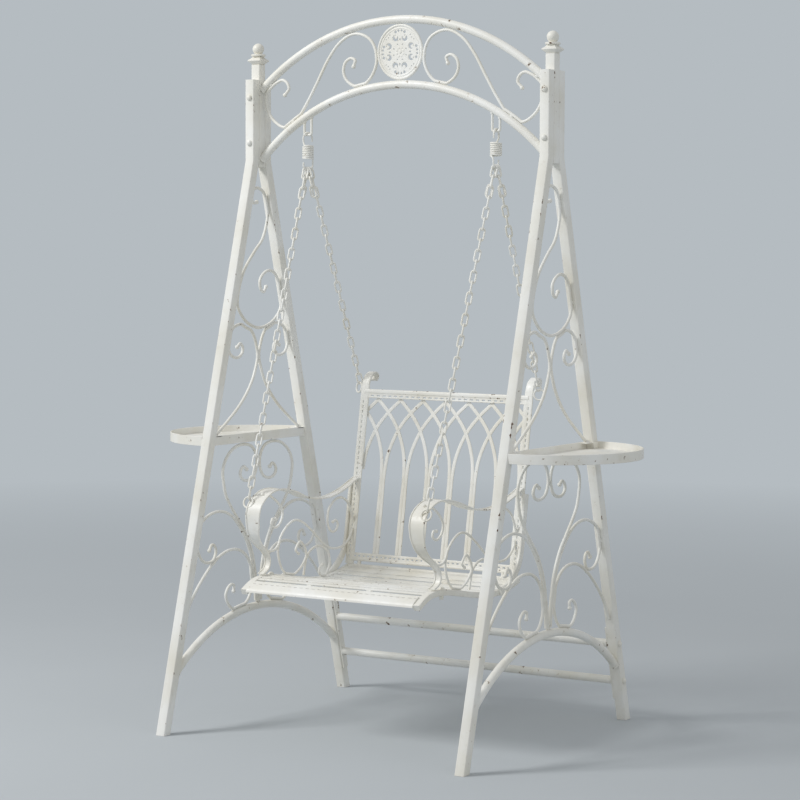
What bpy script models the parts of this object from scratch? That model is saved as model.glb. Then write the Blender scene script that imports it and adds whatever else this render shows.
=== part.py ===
"""Framed swing bench: a wrought-iron garden seat that hangs on two springs and four chains
from an arched stand with scrolled sides.

Metres, +Z up. The origin is on the ground, midway between the four feet. The seat faces -Y.
"""

import math

import bmesh
import bpy
import numpy as np
from mathutils import Vector

# Fits and fineness
GAP = 0.0003
WELD = 0.0006
OVERRUN = 0.004
CURVE_STEP = 0.002
CONTACT_SAG = 0.00015
TURN_LIMIT = math.radians(46)
SAG_LIMIT = 0.0022

# Stand: four legs of square tube, kinked where they meet the arch posts
SIDE_X = 0.523
LEG_SIDE = 0.032
LEG_WALL = 0.002
FOOT_PLATE = 0.003
FOOT_Y = 0.4953
KINK_Z = 1.733
LEG_TOP_Z = 1.986
POST_SIDE = 0.032
POST_BOTTOM_Z = 1.715
POST_TOP_Z = 2.034
LEG_TOP_Y = POST_SIDE / 2 + GAP + LEG_SIDE / 2
LEG_SLOPE = (FOOT_Y - LEG_TOP_Y) / KINK_Z
LEG_LEAN = math.atan(LEG_SLOPE)

# Arch of two round tubes
TUBE_R = 0.0125
TUBE_WALL = 0.0018
TUBE_SIDES = 8
LOWER_CROWN_Z = 1.959
LOWER_END_Z = 1.739
UPPER_CROWN_Z = LOWER_CROWN_Z + 0.195
UPPER_END_Z = LOWER_END_Z + 0.217
ARCH_SEGMENTS = 12
TIE_SEGMENTS = 8
ARCH_END_X = SIDE_X - POST_SIDE / 2 - GAP

# Low tie arch of each side frame, and the brace between the back legs
TIE_CROWN_Z = 0.334
TIE_END_Z = 0.180
BRACE_UPPER_Z = 0.246
BRACE_LOWER_Z = 0.126
BRACE_PLATE_TOP_Z = 0.300
BRACE_PLATE_BOTTOM_Z = 0.070
BRACE_PLATE_THICK = 0.006
BRACE_PLATE_WIDTH = 0.024

# Fasteners
BOLT_SHANK_R = 0.004
BOLT_HOLE_R = 0.0045
BOLT_HEAD_R = 0.0098
BOLT_DOME = 0.0062
BOLT_RIM = 0.003
BOLT_SHOULDER_SHARE = 0.72
BOLT_TIP_SHARE = 0.25
BOLT_SIDES = 6
HOLE_SIDES = 8
POST_BOLT_Z = (1.930, 1.790)
BRACE_BOLT_Z = (0.246, 0.126)

# Finials
PLATE_HALF = 0.0235
PLATE_HEIGHT = 0.024
PLATE_Z = POST_TOP_Z + PLATE_HEIGHT / 2
PLATE_LEVELS = ((0.55, -0.5), (0.72, -0.30), (1.0, -0.06), (1.0, 0.06), (0.70, 0.30), (0.52, 0.5))
COLLAR_R = 0.021
COLLAR_Z = PLATE_Z + 0.0185
BALL_R = 0.018
BALL_Z = COLLAR_Z + BALL_R
BALL_LEVEL_SHARES = (0.25, 0.45, 0.62, 0.78, 0.95)
FINIAL_NECK_R = 0.0145
FINIAL_NECK_SHARE = 0.75
FINIAL_SIDES = 8

# Scrolled bar of the stand
BAR_R = 0.00475
BAR_SIDES = 5
BALL_END_R = 0.0066
BALL_RING_SHARES = (0.50, 0.90)
MEDALLION_HALF_X = 0.081
MEDALLION_RIM_R = 0.0048
MEDALLION_INNER_SHARE = 0.80
MEDALLION_SPOKE_R = 0.0032
MEDALLION_SPOKES = 8
MEDALLION_POINTS = 16
MEDALLION_BOSS_R = 0.020
MEDALLION_BOSS_THICK = 0.010

# Heights that the scrolls span
TOP_SCROLL_Z = (1.213, 1.651)
PAIR_Z = (0.8905, 1.226)
HEART_TOP_Z = 0.850
SIDE_SCROLL_TOP_Z = 0.650
LOWER_SCROLL_FOOT_Z = 0.330
LOWER_SCROLL_TOP_Z = 0.525

# Trays
TRAY_R = 0.276
TRAY_BOTTOM_Z = 0.857
TRAY_RIM_HEIGHT = 0.029
TRAY_FLOOR_LIFT = 0.006
TRAY_FLOOR_THICK = 0.002
TRAY_RIM_THICK = 0.0035
TRAY_INNER_X = 0.513
TRAY_ARC_SEGMENTS = 14
TRAY_LEG_GAP = 0.0004
TRAY_TAB_LENGTH = 0.032
TRAY_TAB_THICK = 0.004

# Hangers
HANG_X = 0.335
HANG_Z = LOWER_CROWN_Z - 0.146
LINK_WIRE_R = 0.004
LINK_HALF_X = 0.0127
LINK_CORNER_R = 0.006
LINK_CORNER_SHARE = 0.29
SPRING_WIRE_R = 0.0025
SPRING_MEAN_R = 0.0155
SPRING_TOP_Z = HANG_Z - 0.033
SPRING_TURNS = 7
SPRING_PITCH = 0.0059
SPRING_POINTS_PER_TURN = 8
HOOK_WIRE_Z = HANG_Z + LINK_WIRE_R + GAP + SPRING_WIRE_R
HOOK_DROP = 0.032
HOOK_TURN = math.radians(34)

# Chains
CHAIN_WIRE_R = 0.0029
CHAIN_WIDTH = 0.016
CHAIN_CROWN_HALF = 0.0057
CHAIN_SIDES = 3
FRONT_LINKS = 32
BACK_LINKS = 23
TAIL_LINKS = 3
TAIL_PITCH = 0.032
TAIL_SPLAY = math.radians(17)
HOOK_SEAT_Y = 0.0071
TAIL_SEAT_Y = 0.0028
RING_R = 0.0165
RING_WIRE_R = 0.0025
RING_POINTS = 12
RING_SIDES = 5
RING_HOLE_R = 0.0068
FRONT_RING_OFF = 0.0070
FRONT_RING_X = 0.313
BACK_RING_OFF = 0.0052

# Seat, back and arms
BENCH_OUTER_X = 0.3135
POST_WIDTH = 0.027
POST_THICK = 0.006
POST_TURN = math.radians(24)
CHAMFER_SHARE = 0.2
RAIL_TURN = math.radians(20)
BACK_FOOT = (0.189, 0.486)
BACK_TOP = (0.2744, 0.998)
RAIL_DEPTH = 0.012
TOP_RAIL_TALL = 0.030
BOTTOM_RAIL_TALL = 0.026
STRIP_WIDTH = 0.011
STRIP_THICK = 0.0045
STRIP_STEP = 0.0004
BAYS = 7
BAY_WIDTH = 0.0843
ARCH_BAYS = 1.5
TRACERY_FORK_SHARE = 0.535
SEAT_BAR_WIDTH = 0.022
SEAT_BAR_TALL = 0.018
SLAT_COUNT = 8
SLAT_WIDTH = 0.030
SLAT_THICK = 0.004
SLAT_BAR_X = 0.105
SLAT_BAR_WIDTH = 0.016
SLAT_BAR_THICK = 0.006
SLAT_CLEAR = 0.006
SLAT_SINK = 0.0012
FRONT_ROLL_R = 0.012
FRONT_ROLL_SHARES = (0, 0.33, 0.67, 1)
FRONT_THICK = 0.005
FRONT_DROP = 0.001
REAR_BAR_SHARE = 0.9
ARM_X = 0.288
ARM_THICK = 0.0055
ARM_TURN = math.radians(16)
ARM_HOLE_REACH = 4
ARM_BAR_R = 0.0038
ARM_BAR_X = 0.3075
ARM_REAR_X = 0.300
FOOT_LIFT = 0.0004
REAR_BAR_WIDTH = 0.009
REAR_BAR_DEPTH = 0.022
STRUT_TURN = math.radians(18)

IRON_COLOUR = (0.80, 0.78, 0.70, 1.0)
IRON_ROUGHNESS = 0.45

ALONG_X = Vector((1, 0, 0))
ALONG_Y = Vector((0, 1, 0))
ALONG_Z = Vector((0, 0, 1))


def clear_scene():
    for obj in list(bpy.data.objects):
        bpy.data.objects.remove(obj)


def iron(name):
    material = bpy.data.materials.new(name)
    material.use_nodes = True
    shader = material.node_tree.nodes["Principled BSDF"]
    shader.inputs["Base Color"].default_value = IRON_COLOUR
    shader.inputs["Roughness"].default_value = IRON_ROUGHNESS
    shader.inputs["Metallic"].default_value = 0
    return material


def solid(name, points, faces, parent=None):
    """An object of the closed shape that the points and faces give, with its faces turned outwards."""
    mesh = bpy.data.meshes.new(name)
    mesh.from_pydata([tuple(point) for point in points], [], faces)
    work = bmesh.new()
    work.from_mesh(mesh)
    bmesh.ops.recalc_face_normals(work, faces=work.faces)
    work.to_mesh(mesh)
    work.free()
    return place(name, mesh, parent)


def place(name, mesh, parent=None):
    obj = bpy.data.objects.new(name, mesh)
    bpy.context.scene.collection.objects.link(obj)
    if not mesh.materials:
        mesh.materials.append(iron(name))
    mesh.shade_smooth()
    mesh.set_sharp_from_angle(angle=math.radians(40))
    attach(obj, parent)
    return obj


def attach(obj, parent):
    """Hangs a piece on its joint's empty, and leaves it where it is."""
    if parent is None:
        return
    bpy.context.view_layer.update()
    obj.parent = parent
    obj.matrix_parent_inverse = parent.matrix_world.inverted()


def combine(name, base, others, operation, parent=None):
    """The base mesh joined with, or cut by, the others, as one new object."""
    for other in others:
        other.hide_render = True
        other.display_type = "WIRE"
        boolean = base.modifiers.new("boolean", "BOOLEAN")
        boolean.operation = operation
        boolean.solver = "EXACT"
        boolean.use_self = False
        boolean.object = other
    bpy.context.view_layer.update()
    graph = bpy.context.evaluated_depsgraph_get()
    mesh = bpy.data.meshes.new_from_object(base.evaluated_get(graph))
    for used in [base] + list(others):
        bpy.data.objects.remove(used)
    mesh.name = name
    mesh.materials.clear()
    return place(name, mesh, parent)


def join(name, pieces, parent=None):
    return combine(name, pieces[0], pieces[1:], "UNION", parent)


def cut(name, base, cutters, parent=None):
    return combine(name, base, cutters, "DIFFERENCE", parent)


# Outlines across a bar, as (sideways, upwards) points about its centre line


def round_outline(radius, sides, turn=0.5):
    angles = [2 * math.pi * (i + turn) / sides for i in range(sides)]
    return [(radius * math.cos(a), radius * math.sin(a)) for a in angles]


def flat_outline(width, height, chamfer=0.0):
    w = width / 2
    h = height / 2
    if chamfer == 0:
        return [(-w, -h), (w, -h), (w, h), (-w, h)]
    c = chamfer
    right = [(w - c, -h), (w, -h + c), (w, h - c), (w - c, h)]
    return right + [(-x, -y) for x, y in right]


# Paths


def smooth(points, step=CURVE_STEP):
    """Even points on a centripetal Catmull-Rom curve through the given ones."""
    p = np.array([tuple(q) for q in points], float)
    p = np.vstack([2 * p[0] - p[1], p, 2 * p[-1] - p[-2]])
    found = []
    for a, b, c, d in zip(p[:-3], p[1:-2], p[2:-1], p[3:]):
        t1 = np.linalg.norm(b - a) ** 0.5
        t2 = t1 + np.linalg.norm(c - b) ** 0.5
        t3 = t2 + np.linalg.norm(d - c) ** 0.5
        count = max(2, math.ceil(np.linalg.norm(c - b) / step))
        for t in np.linspace(t1, t2, count, endpoint=False):
            ab = ((t1 - t) * a + t * b) / t1
            bc = ((t2 - t) * b + (t - t1) * c) / (t2 - t1)
            cd = ((t3 - t) * c + (t - t2) * d) / (t3 - t2)
            abc = ((t2 - t) * ab + t * bc) / t2
            bcd = ((t3 - t) * bc + (t - t1) * cd) / (t3 - t1)
            found.append(((t2 - t) * abc + (t - t1) * bcd) / (t2 - t1))
    found.append(p[-2])
    return np.array(found)


def seat(path, rests):
    """The path pushed off each rest, a (path, distance) pair, so that a bar on it just clears that rest."""
    path = np.array(path, float)
    for rest, distance in rests:
        rest = np.array(rest, float)
        for i, point in enumerate(path):
            offsets = point - rest
            lengths = np.linalg.norm(offsets, axis=1)
            near = lengths.argmin()
            if lengths[near] < distance:
                path[i] = rest[near] + offsets[near] * distance / lengths[near]
    return path


def dense(ends, step=CURVE_STEP / 2):
    """Close points along straight runs."""
    ends = np.array(ends, float)
    found = [ends[:1]]
    for a, b in zip(ends[:-1], ends[1:]):
        count = max(1, math.ceil(np.linalg.norm(b - a) / step))
        found.append(a + (b - a) * np.linspace(0, 1, count + 1)[1:, None])
    return np.vstack(found)


def touching(path, rests):
    """Which of the path's points lie against a rest."""
    found = np.zeros(len(path), bool)
    for rest, distance in rests:
        rest = np.array(rest, float)
        for i, point in enumerate(path):
            found[i] |= np.linalg.norm(rest - point, axis=1).min() < distance + GAP / 2
    return found


def thin(path, turn_limit=TURN_LIMIT, sag_limit=SAG_LIMIT, tight=None):
    """The fewest of the path's points whose chords stay within the turn and sag limits."""
    path = np.array(path, float)
    tight = np.zeros(len(path), bool) if tight is None else tight
    steps = np.diff(path, axis=0)
    directions = steps / np.linalg.norm(steps, axis=1)[:, None]
    found = [0]
    while found[-1] < len(path) - 1:
        start = found[-1]
        end = start + 1
        while end < len(path) - 1:
            chord = path[end + 1] - path[start]
            inner = path[start : end + 2] - path[start]
            away = inner - np.outer(inner @ chord, chord) / (chord @ chord)
            sags = np.linalg.norm(away, axis=1)
            close = tight[start : end + 2]
            turn = math.acos(np.clip(directions[start] @ directions[end], -1, 1))
            if sags.max() > sag_limit or turn > turn_limit or (sags[close] > CONTACT_SAG).any():
                break
            end += 1
        found.append(end)
    if len(found) > 2 and np.linalg.norm(path[found[-1]] - path[found[-2]]) < 2 * CURVE_STEP:
        found.pop(-2)
    return path[found]


def on_side(x, flat_points):
    """Points (y, z) as points in the plane at x."""
    return np.array([(x, y, z) for y, z in flat_points])


def circle_through(end, crown_z, end_z):
    """(radius, centre height) of the circle with its crown at x = 0 that passes end."""
    rise = crown_z - end_z
    radius = (end**2 + rise**2) / (2 * rise)
    return radius, crown_z - radius


def arc(radius, centre_z, half, count):
    """(across, height) points along the top of a circle, from -half to half."""
    reach = math.asin(half / radius)
    angles = [reach * (2 * i / (count - 1) - 1) for i in range(count)]
    return [(radius * math.sin(a), centre_z + radius * math.cos(a)) for a in angles]


# Bars swept along paths


def sweep_rings(path, side, outline, scales=None, closed=False):
    """One ring of points for each path point. A path in one plane has side square to that plane."""
    path = [Vector(p) for p in path]
    count = len(path)
    rings = []
    for i, point in enumerate(path):
        before = path[i - 1] if closed or i else None
        after = path[(i + 1) % count] if closed or i < count - 1 else None
        d0 = (point - before).normalized() if before is not None else None
        d1 = (after - point).normalized() if after is not None else None
        ahead = ((d0 or d1) + (d1 or d0)).normalized()
        up = ahead.cross(side).normalized()
        mitre = 1 / max(0.5, ahead.dot(d0 or d1))
        u, v = scales[i] if scales is not None else (1, 1)
        rings.append([point + side * (a * u) + up * (b * v * mitre) for a, b in outline])
    return rings


def trim_ring(ring, along, point, normal):
    """The ring slid along its bar onto a plane."""
    along = Vector(along).normalized()
    point = Vector(point)
    normal = Vector(normal)
    reach = along.dot(normal)
    return [p + along * ((point - p).dot(normal) / reach) for p in ring]


def skin(rings, closed=False, caps=True, first=0):
    """Faces between neighbouring rings, with caps on the ends of an open run."""
    n = len(rings[0])
    faces = []
    pairs = len(rings) if closed else len(rings) - 1
    for i in range(pairs):
        a = first + i * n
        b = first + ((i + 1) % len(rings)) * n
        for j in range(n):
            k = (j + 1) % n
            faces.append((a + j, a + k, b + k, b + j))
    if caps and not closed:
        faces.append(tuple(range(first, first + n)))
        last = first + (len(rings) - 1) * n
        faces.append(tuple(reversed(range(last, last + n))))
    return faces


def flatten(rings):
    return [point for ring in rings for point in ring]


def bar(name, path, side, outline, scales=None, closed=False, planes=(None, None), parent=None):
    """A solid bar. Each of planes, a (point, normal) pair, trims that end flush."""
    rings = sweep_rings(path, side, outline, scales, closed)
    path = [Vector(p) for p in path]
    if planes[0]:
        rings[0] = trim_ring(rings[0], path[1] - path[0], *planes[0])
    if planes[1]:
        rings[-1] = trim_ring(rings[-1], path[-1] - path[-2], *planes[1])
    return solid(name, flatten(rings), skin(rings, closed), parent)


def pipe(name, path, side, outer, inner, planes=(None, None), floor=0.0, parent=None):
    """A hollow bar, open at both ends, or closed at its first end by a plate of thickness floor."""
    path = [Vector(p) for p in path]
    outside = sweep_rings(path, side, outer)
    inside = sweep_rings(path, side, inner)
    ends = (path[1] - path[0], path[-1] - path[-2])
    for i, plane in enumerate(planes):
        if plane:
            outside[-i] = trim_ring(outside[-i], ends[i], *plane)
            inside[-i] = trim_ring(inside[-i], ends[i], *plane)
    if floor:
        lift = planes[0][1] * floor
        inside[0] = trim_ring(inside[0], ends[0], planes[0][0] + lift, planes[0][1])
    n = len(outer)
    points = flatten(outside) + flatten(inside)
    shift = len(outside) * n
    faces = skin(outside, caps=False) + skin(inside, caps=False, first=shift)
    last = (len(outside) - 1) * n
    for j in range(n):
        k = (j + 1) % n
        faces.append((last + j, last + k, shift + last + k, shift + last + j))
        if not floor:
            faces.append((j, k, shift + k, shift + j))
    if floor:
        faces.append(tuple(range(n)))
        faces.append(tuple(range(shift, shift + n)))
    return solid(name, points, faces, parent)


def balled(path, bar_radius, ball_radius, both=False):
    """The path lengthened by a ball at its start, and at its end too if both, with a scale for each ring."""
    start = math.asin(bar_radius / ball_radius)
    angles = [start + (math.pi - start) * share for share in BALL_RING_SHARES]
    path = [Vector(p) for p in path]
    scales = [(1, 1)] * len(path)

    def grow(tip, inner):
        out = (tip - inner).normalized()
        centre = tip + out * ball_radius * math.cos(start)
        points = [centre - out * ball_radius * math.cos(a) for a in angles]
        sizes = [(ball_radius * math.sin(a) / bar_radius,) * 2 for a in angles]
        return points, sizes

    points, sizes = grow(path[0], path[1])
    path = points[::-1] + path
    scales = sizes[::-1] + scales
    if both:
        points, sizes = grow(path[-1], path[-2])
        path = path + points
        scales = scales + sizes
    return path, scales


def scroll(name, path, side, rests=(), radius=BAR_R, ball=BALL_END_R, both=True, balls=True, parent=None):
    """A round bar along a planar path, with a ball at its curled start, and at its end too if both."""
    path = thin(path, tight=touching(path, rests))
    centres = dense(path)
    scales = None
    if balls:
        path, scales = balled(path, radius, ball, both)
    return bar(name, path, side, round_outline(radius, BAR_SIDES), scales, parent=parent), centres


def turned(name, profile, centre, axis, sides, parent=None):
    """A turned solid from (radius, distance along the axis) points."""
    axis = Vector(axis)
    across = ALONG_X if abs(axis.dot(ALONG_X)) < 0.5 else ALONG_Y
    u = (across - axis * across.dot(axis)).normalized()
    v = axis.cross(u)
    rings = []
    for radius, along in profile:
        ring = [Vector(centre) + axis * along + u * a + v * b for a, b in round_outline(radius, sides)]
        rings.append(ring)
    return solid(name, flatten(rings), skin(rings), parent)


def box(name, low, high, parent=None):
    x0, y0, z0 = low
    x1, y1, z1 = high
    lower = [(x0, y0, z0), (x1, y0, z0), (x1, y1, z0), (x0, y1, z0)]
    upper = [(x, y, z1) for x, y, _ in lower]
    return solid(name, lower + upper, skin([lower, upper]), parent)


# Stand


def leg_y(z):
    """Distance of a leg's centre line from the middle plane at a height."""
    return LEG_TOP_Y + LEG_SLOPE * max(0.0, KINK_Z - z)


def leg_inner_y(z):
    return leg_y(z) - LEG_SIDE / 2 / math.cos(LEG_LEAN)


def bolt(name, head_centre, out, length, parent=None):
    """A domed bolt whose head seats at head_centre and whose shank runs the other way."""
    profile = [
        (BOLT_SHANK_R, -length),
        (BOLT_SHANK_R, 0),
        (BOLT_HEAD_R, 0),
        (BOLT_HEAD_R, BOLT_RIM),
        (BOLT_HEAD_R * BOLT_SHOULDER_SHARE, BOLT_DOME),
        (BOLT_HEAD_R * BOLT_TIP_SHARE, BOLT_DOME + BOLT_RIM / 2),
    ]
    return turned(name, profile, head_centre, out, BOLT_SIDES, parent)


def drill(centre, axis, radius, length):
    half = length / 2
    return turned("drill", [(radius, -half), (radius, half)], centre, axis, HOLE_SIDES)


def make_legs(label, x, parent):
    outer = flat_outline(LEG_SIDE, LEG_SIDE)
    inner_side = LEG_SIDE - 2 * LEG_WALL
    inner = flat_outline(inner_side, inner_side)
    for place_name, turn in (("front", -1), ("back", 1)):
        path = [(x, turn * FOOT_Y, 0), (x, turn * LEG_TOP_Y, KINK_Z), (x, turn * LEG_TOP_Y, LEG_TOP_Z)]
        planes = ((Vector((x, 0, 0)), ALONG_Z), None)
        leg = pipe("leg", path, ALONG_X, outer, inner, planes, FOOT_PLATE)
        cutters = []
        for z in POST_BOLT_Z:
            cutters.append(drill((x, turn * LEG_TOP_Y, z), ALONG_Y, BOLT_HOLE_R, LEG_SIDE + OVERRUN))
        if turn > 0:
            for z in BRACE_BOLT_Z:
                cutters.append(drill((x, leg_y(z), z), ALONG_X, BOLT_HOLE_R, LEG_SIDE + OVERRUN))
        cut(f"{place_name}_leg_{label}", leg, cutters, parent)


def make_arch_post(label, x, parent):
    outer = flat_outline(POST_SIDE, POST_SIDE)
    inner_side = POST_SIDE - 2 * LEG_WALL
    inner = flat_outline(inner_side, inner_side)
    path = [(x, 0, POST_TOP_Z), (x, 0, POST_BOTTOM_Z)]
    planes = ((Vector((x, 0, POST_TOP_Z)), -ALONG_Z), None)
    post = pipe("post", path, ALONG_X, outer, inner, planes, FOOT_PLATE)
    cutters = [drill((x, 0, z), ALONG_Y, BOLT_HOLE_R, POST_SIDE + OVERRUN) for z in POST_BOLT_Z]
    cut(f"arch_post_{label}", post, cutters, parent)
    reach = LEG_TOP_Y + LEG_SIDE / 2 + GAP
    for height_name, z in zip(("upper", "lower"), POST_BOLT_Z):
        bolt(f"post_bolt_{height_name}_{label}", (x, -reach, z), -ALONG_Y, 2 * reach, parent)


def make_finial(label, x, parent):
    plate_rings = []
    for share, height_share in PLATE_LEVELS:
        half = PLATE_HALF * share
        z = PLATE_Z + GAP + PLATE_HEIGHT * height_share
        plate_rings.append([(x + a * half, b * half, z) for a, b in ((-1, -1), (1, -1), (1, 1), (-1, 1))])
    plate = solid("plate", flatten(plate_rings), skin(plate_rings))
    top = PLATE_Z + PLATE_HEIGHT / 2
    neck = FINIAL_NECK_R * FINIAL_NECK_SHARE
    start = math.asin(neck / BALL_R)
    profile = [
        (neck, top - OVERRUN),
        (FINIAL_NECK_R, top + GAP),
        (COLLAR_R, COLLAR_Z - (COLLAR_Z - top) / 3),
        (COLLAR_R, COLLAR_Z),
        (neck, BALL_Z - BALL_R * math.cos(start)),
    ]
    for share in BALL_LEVEL_SHARES:
        angle = start + (math.pi - start) * share
        profile.append((BALL_R * math.sin(angle), BALL_Z - BALL_R * math.cos(angle)))
    ball = turned("ball", profile, (x, 0, 0), ALONG_Z, FINIAL_SIDES)
    join(f"finial_{label}", [plate, ball], parent)


def arch_tube(name, crown_z, end_z, segments, parent):
    """A round tube that bows up between the two arch posts."""
    radius, centre_z = circle_through(ARCH_END_X, crown_z, end_z)
    path = [(x, 0, z) for x, z in arc(radius, centre_z, ARCH_END_X, segments + 1)]
    outer = round_outline(TUBE_R, TUBE_SIDES, 0)
    inner = round_outline(TUBE_R - TUBE_WALL, TUBE_SIDES, 0)
    planes = ((Vector((-ARCH_END_X, 0, 0)), ALONG_X), (Vector((ARCH_END_X, 0, 0)), ALONG_X))
    pipe(name, path, ALONG_Y, outer, inner, planes, parent=parent)
    return radius, centre_z


def arch_height(crown_z, end_z, x):
    radius, centre_z = circle_through(ARCH_END_X, crown_z, end_z)
    return centre_z + math.sqrt(radius**2 - x**2)


def arch_rest(crown_z, end_z):
    """Close points on an arch tube's centre line, for the scrolls that touch it."""
    radius, centre_z = circle_through(ARCH_END_X, crown_z, end_z)
    return dense([(x, 0, z) for x, z in arc(radius, centre_z, ARCH_END_X, ARCH_SEGMENTS + 1)])


def medallion_size():
    """(half height, centre height) of the medallion, which fills the space between the tubes."""
    low = LOWER_CROWN_Z + TUBE_R + GAP
    high = UPPER_CROWN_Z - TUBE_R - GAP
    return (high - low) / 2, (high + low) / 2


def oval(half_x, half_z, centre_z, count):
    angles = [2 * math.pi * i / count for i in range(count)]
    return np.array([(half_x * math.cos(a), 0, centre_z + half_z * math.sin(a)) for a in angles])


def make_medallion(parent):
    half_z, centre_z = medallion_size()
    half_x = MEDALLION_HALF_X
    rim = round_outline(MEDALLION_RIM_R, BAR_SIDES, 0)
    outer_path = oval(half_x - MEDALLION_RIM_R, half_z - MEDALLION_RIM_R, centre_z, MEDALLION_POINTS)
    outer = bar("rim", outer_path, ALONG_Y, rim, closed=True)
    inner_x = (half_x - MEDALLION_RIM_R) * MEDALLION_INNER_SHARE
    inner_z = (half_z - MEDALLION_RIM_R) * MEDALLION_INNER_SHARE
    inner = bar("inner", oval(inner_x, inner_z, centre_z, MEDALLION_POINTS), ALONG_Y, rim, closed=True)
    boss = turned(
        "boss",
        [(MEDALLION_BOSS_R, -MEDALLION_BOSS_THICK / 2), (MEDALLION_BOSS_R, MEDALLION_BOSS_THICK / 2)],
        (0, 0, centre_z),
        ALONG_Y,
        MEDALLION_SPOKES,
    )
    pieces = [outer, inner, boss]
    for i in range(MEDALLION_SPOKES):
        angle = 2 * math.pi * (i + 0.5) / MEDALLION_SPOKES
        out = Vector((math.cos(angle), 0, math.sin(angle)))
        start = Vector((0, 0, centre_z)) + out * MEDALLION_BOSS_R / 2
        reach = Vector((out.x * (half_x - MEDALLION_RIM_R), 0, out.z * (half_z - MEDALLION_RIM_R)))
        end = Vector((0, 0, centre_z)) + reach
        spoke = round_outline(MEDALLION_SPOKE_R, 4)
        pieces.append(bar("spoke", [start, end], ALONG_Y, spoke))
    join("arch_medallion", pieces, parent)


# Scroll outlines as shares: across from the middle plane to the leg, and up its named span
TOP_SCROLL_SHARES = (
    (-0.29, 0.897), (-0.60, 0.893), (-0.96, 0.941), (-0.76, 0.986), (-0.12, 1.0), (0.78, 0.970),
    (1.02, 0.902), (0.94, 0.815), (0.60, 0.712), (0.26, 0.628), (-0.22, 0.550), (-0.75, 0.413),
    (-0.89, 0.279), (-0.85, 0.164), (-0.55, 0.068), (-0.27, 0.021), (0.01, 0), (0.34, 0.016),
    (0.65, 0.062), (0.91, 0.135), (1.02, 0.221), (1.0, 0.324), (0.85, 0.390), (0.58, 0.409),
    (0.27, 0.386), (0.08, 0.336), (0.12, 0.274), (0.25, 0.256), (0.34, 0.283),
)
PAIR_SHARES = (
    (0.67, 0.798), (0.60, 0.821), (0.52, 0.792), (0.50, 0.747), (0.57, 0.705), (0.70, 0.693),
    (0.87, 0.726), (0.99, 0.804), (1.01, 0.893), (0.91, 0.967), (0.68, 1.0), (0.40, 0.976),
    (0.19, 0.911), (0.07, 0.804), (0.02, 0.699), (0.08, 0.580), (0.17, 0.470), (0.32, 0.345),
    (0.50, 0.229), (0.71, 0.119), (0.94, 0),
)
HEART_SHARES = (
    (0.25, 0.847), (0.29, 0.861), (0.34, 0.847), (0.36, 0.815), (0.31, 0.783), (0.21, 0.771),
    (0.09, 0.795), (0.03, 0.861), (0.05, 0.930), (0.14, 0.980), (0.32, 1.0), (0.52, 0.984),
    (0.66, 0.930), (0.71, 0.857), (0.67, 0.777), (0.60, 0.695), (0.49, 0.620), (0.35, 0.538),
    (0.23, 0.462), (0.15, 0.386), (0.09, 0.303), (0.05, 0.199), (0.025, 0.104), (0.01, 0),
)
SIDE_SCROLL_SHARES = (
    (0.78, 0.629), (0.76, 0.669), (0.71, 0.656), (0.68, 0.596), (0.70, 0.520), (0.77, 0.493),
    (0.88, 0.530), (0.97, 0.636), (1.02, 0.752), (1.0, 0.884), (0.91, 0.960), (0.77, 1.0),
    (0.63, 0.993), (0.49, 0.947), (0.36, 0.854), (0.25, 0.735), (0.16, 0.603), (0.10, 0.454),
    (0.08, 0.305), (0.05, 0.156), (0.035, 0),
)
LOWER_SCROLL_SHARES = (
    (0.36, 0.349), (0.36, 0.415), (0.40, 0.441), (0.45, 0.385), (0.47, 0.282), (0.43, 0.144),
    (0.37, 0.056), (0.29, 0.036), (0.21, 0.067), (0.14, 0.164), (0.10, 0.318), (0.09, 0.513),
    (0.12, 0.692), (0.19, 0.862), (0.30, 0.969), (0.45, 1.0), (0.59, 0.944), (0.71, 0.821),
    (0.82, 0.641), (0.91, 0.436), (0.97, 0.231), (1.0, 0),
)
ARCH_SCROLL_SHARES = (
    (0.328, 0.648), (0.32, 0.7), (0.351, 0.726), (0.391, 0.678), (0.403, 0.574), (0.377, 0.474),
    (0.308, 0.407), (0.239, 0.448), (0.187, 0.559), (0.166, 0.7), (0.182, 0.844), (0.215, 0.93),
    (0.278, 0.989), (0.343, 0.993), (0.43, 0.907), (0.511, 0.73), (0.588, 0.485), (0.667, 0.241),
    (0.74, 0.063), (0.835, -0.033), (0.92, 0.056), (0.963, 0.189), (0.973, 0.289), (0.961, 0.374),
    (0.928, 0.441), (0.888, 0.485), (0.849, 0.507), (0.815, 0.47), (0.803, 0.404), (0.827, 0.348),
)
ARCH_SCROLL_Z = (LOWER_CROWN_Z - 0.112, UPPER_CROWN_Z - 0.037)


def span(shares, low, high, turn=1):
    """(y, z) points of a scroll between the legs, from its shares."""
    found = []
    for across, up in shares:
        z = low + (high - low) * up
        found.append((turn * across * (leg_inner_y(z) - BAR_R - GAP), z))
    return found


def leg_rest(x, turn):
    """(points, distance) of a leg's centre line for a bar that lies against it."""
    line = dense([(x, turn * leg_y(z), z) for z in (0, KINK_Z, LEG_TOP_Z)])
    return line, LEG_SIDE / 2 + GAP + BAR_R


def middle_rest(x, low, high):
    """The middle plane, which a mirrored scroll may just pass into, so that its pair joins."""
    return dense([(x, 0, low), (x, 0, high)]), BAR_R - WELD


def tie_circle():
    half = leg_inner_y(TIE_END_Z)
    return circle_through(half, TIE_CROWN_Z, TIE_END_Z)


def tie_rest(x):
    radius, centre_z = tie_circle()
    half = leg_inner_y(TIE_END_Z) - GAP
    return dense(on_side(x, arc(radius, centre_z, half, TIE_SEGMENTS + 1))), TUBE_R + GAP + BAR_R


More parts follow.
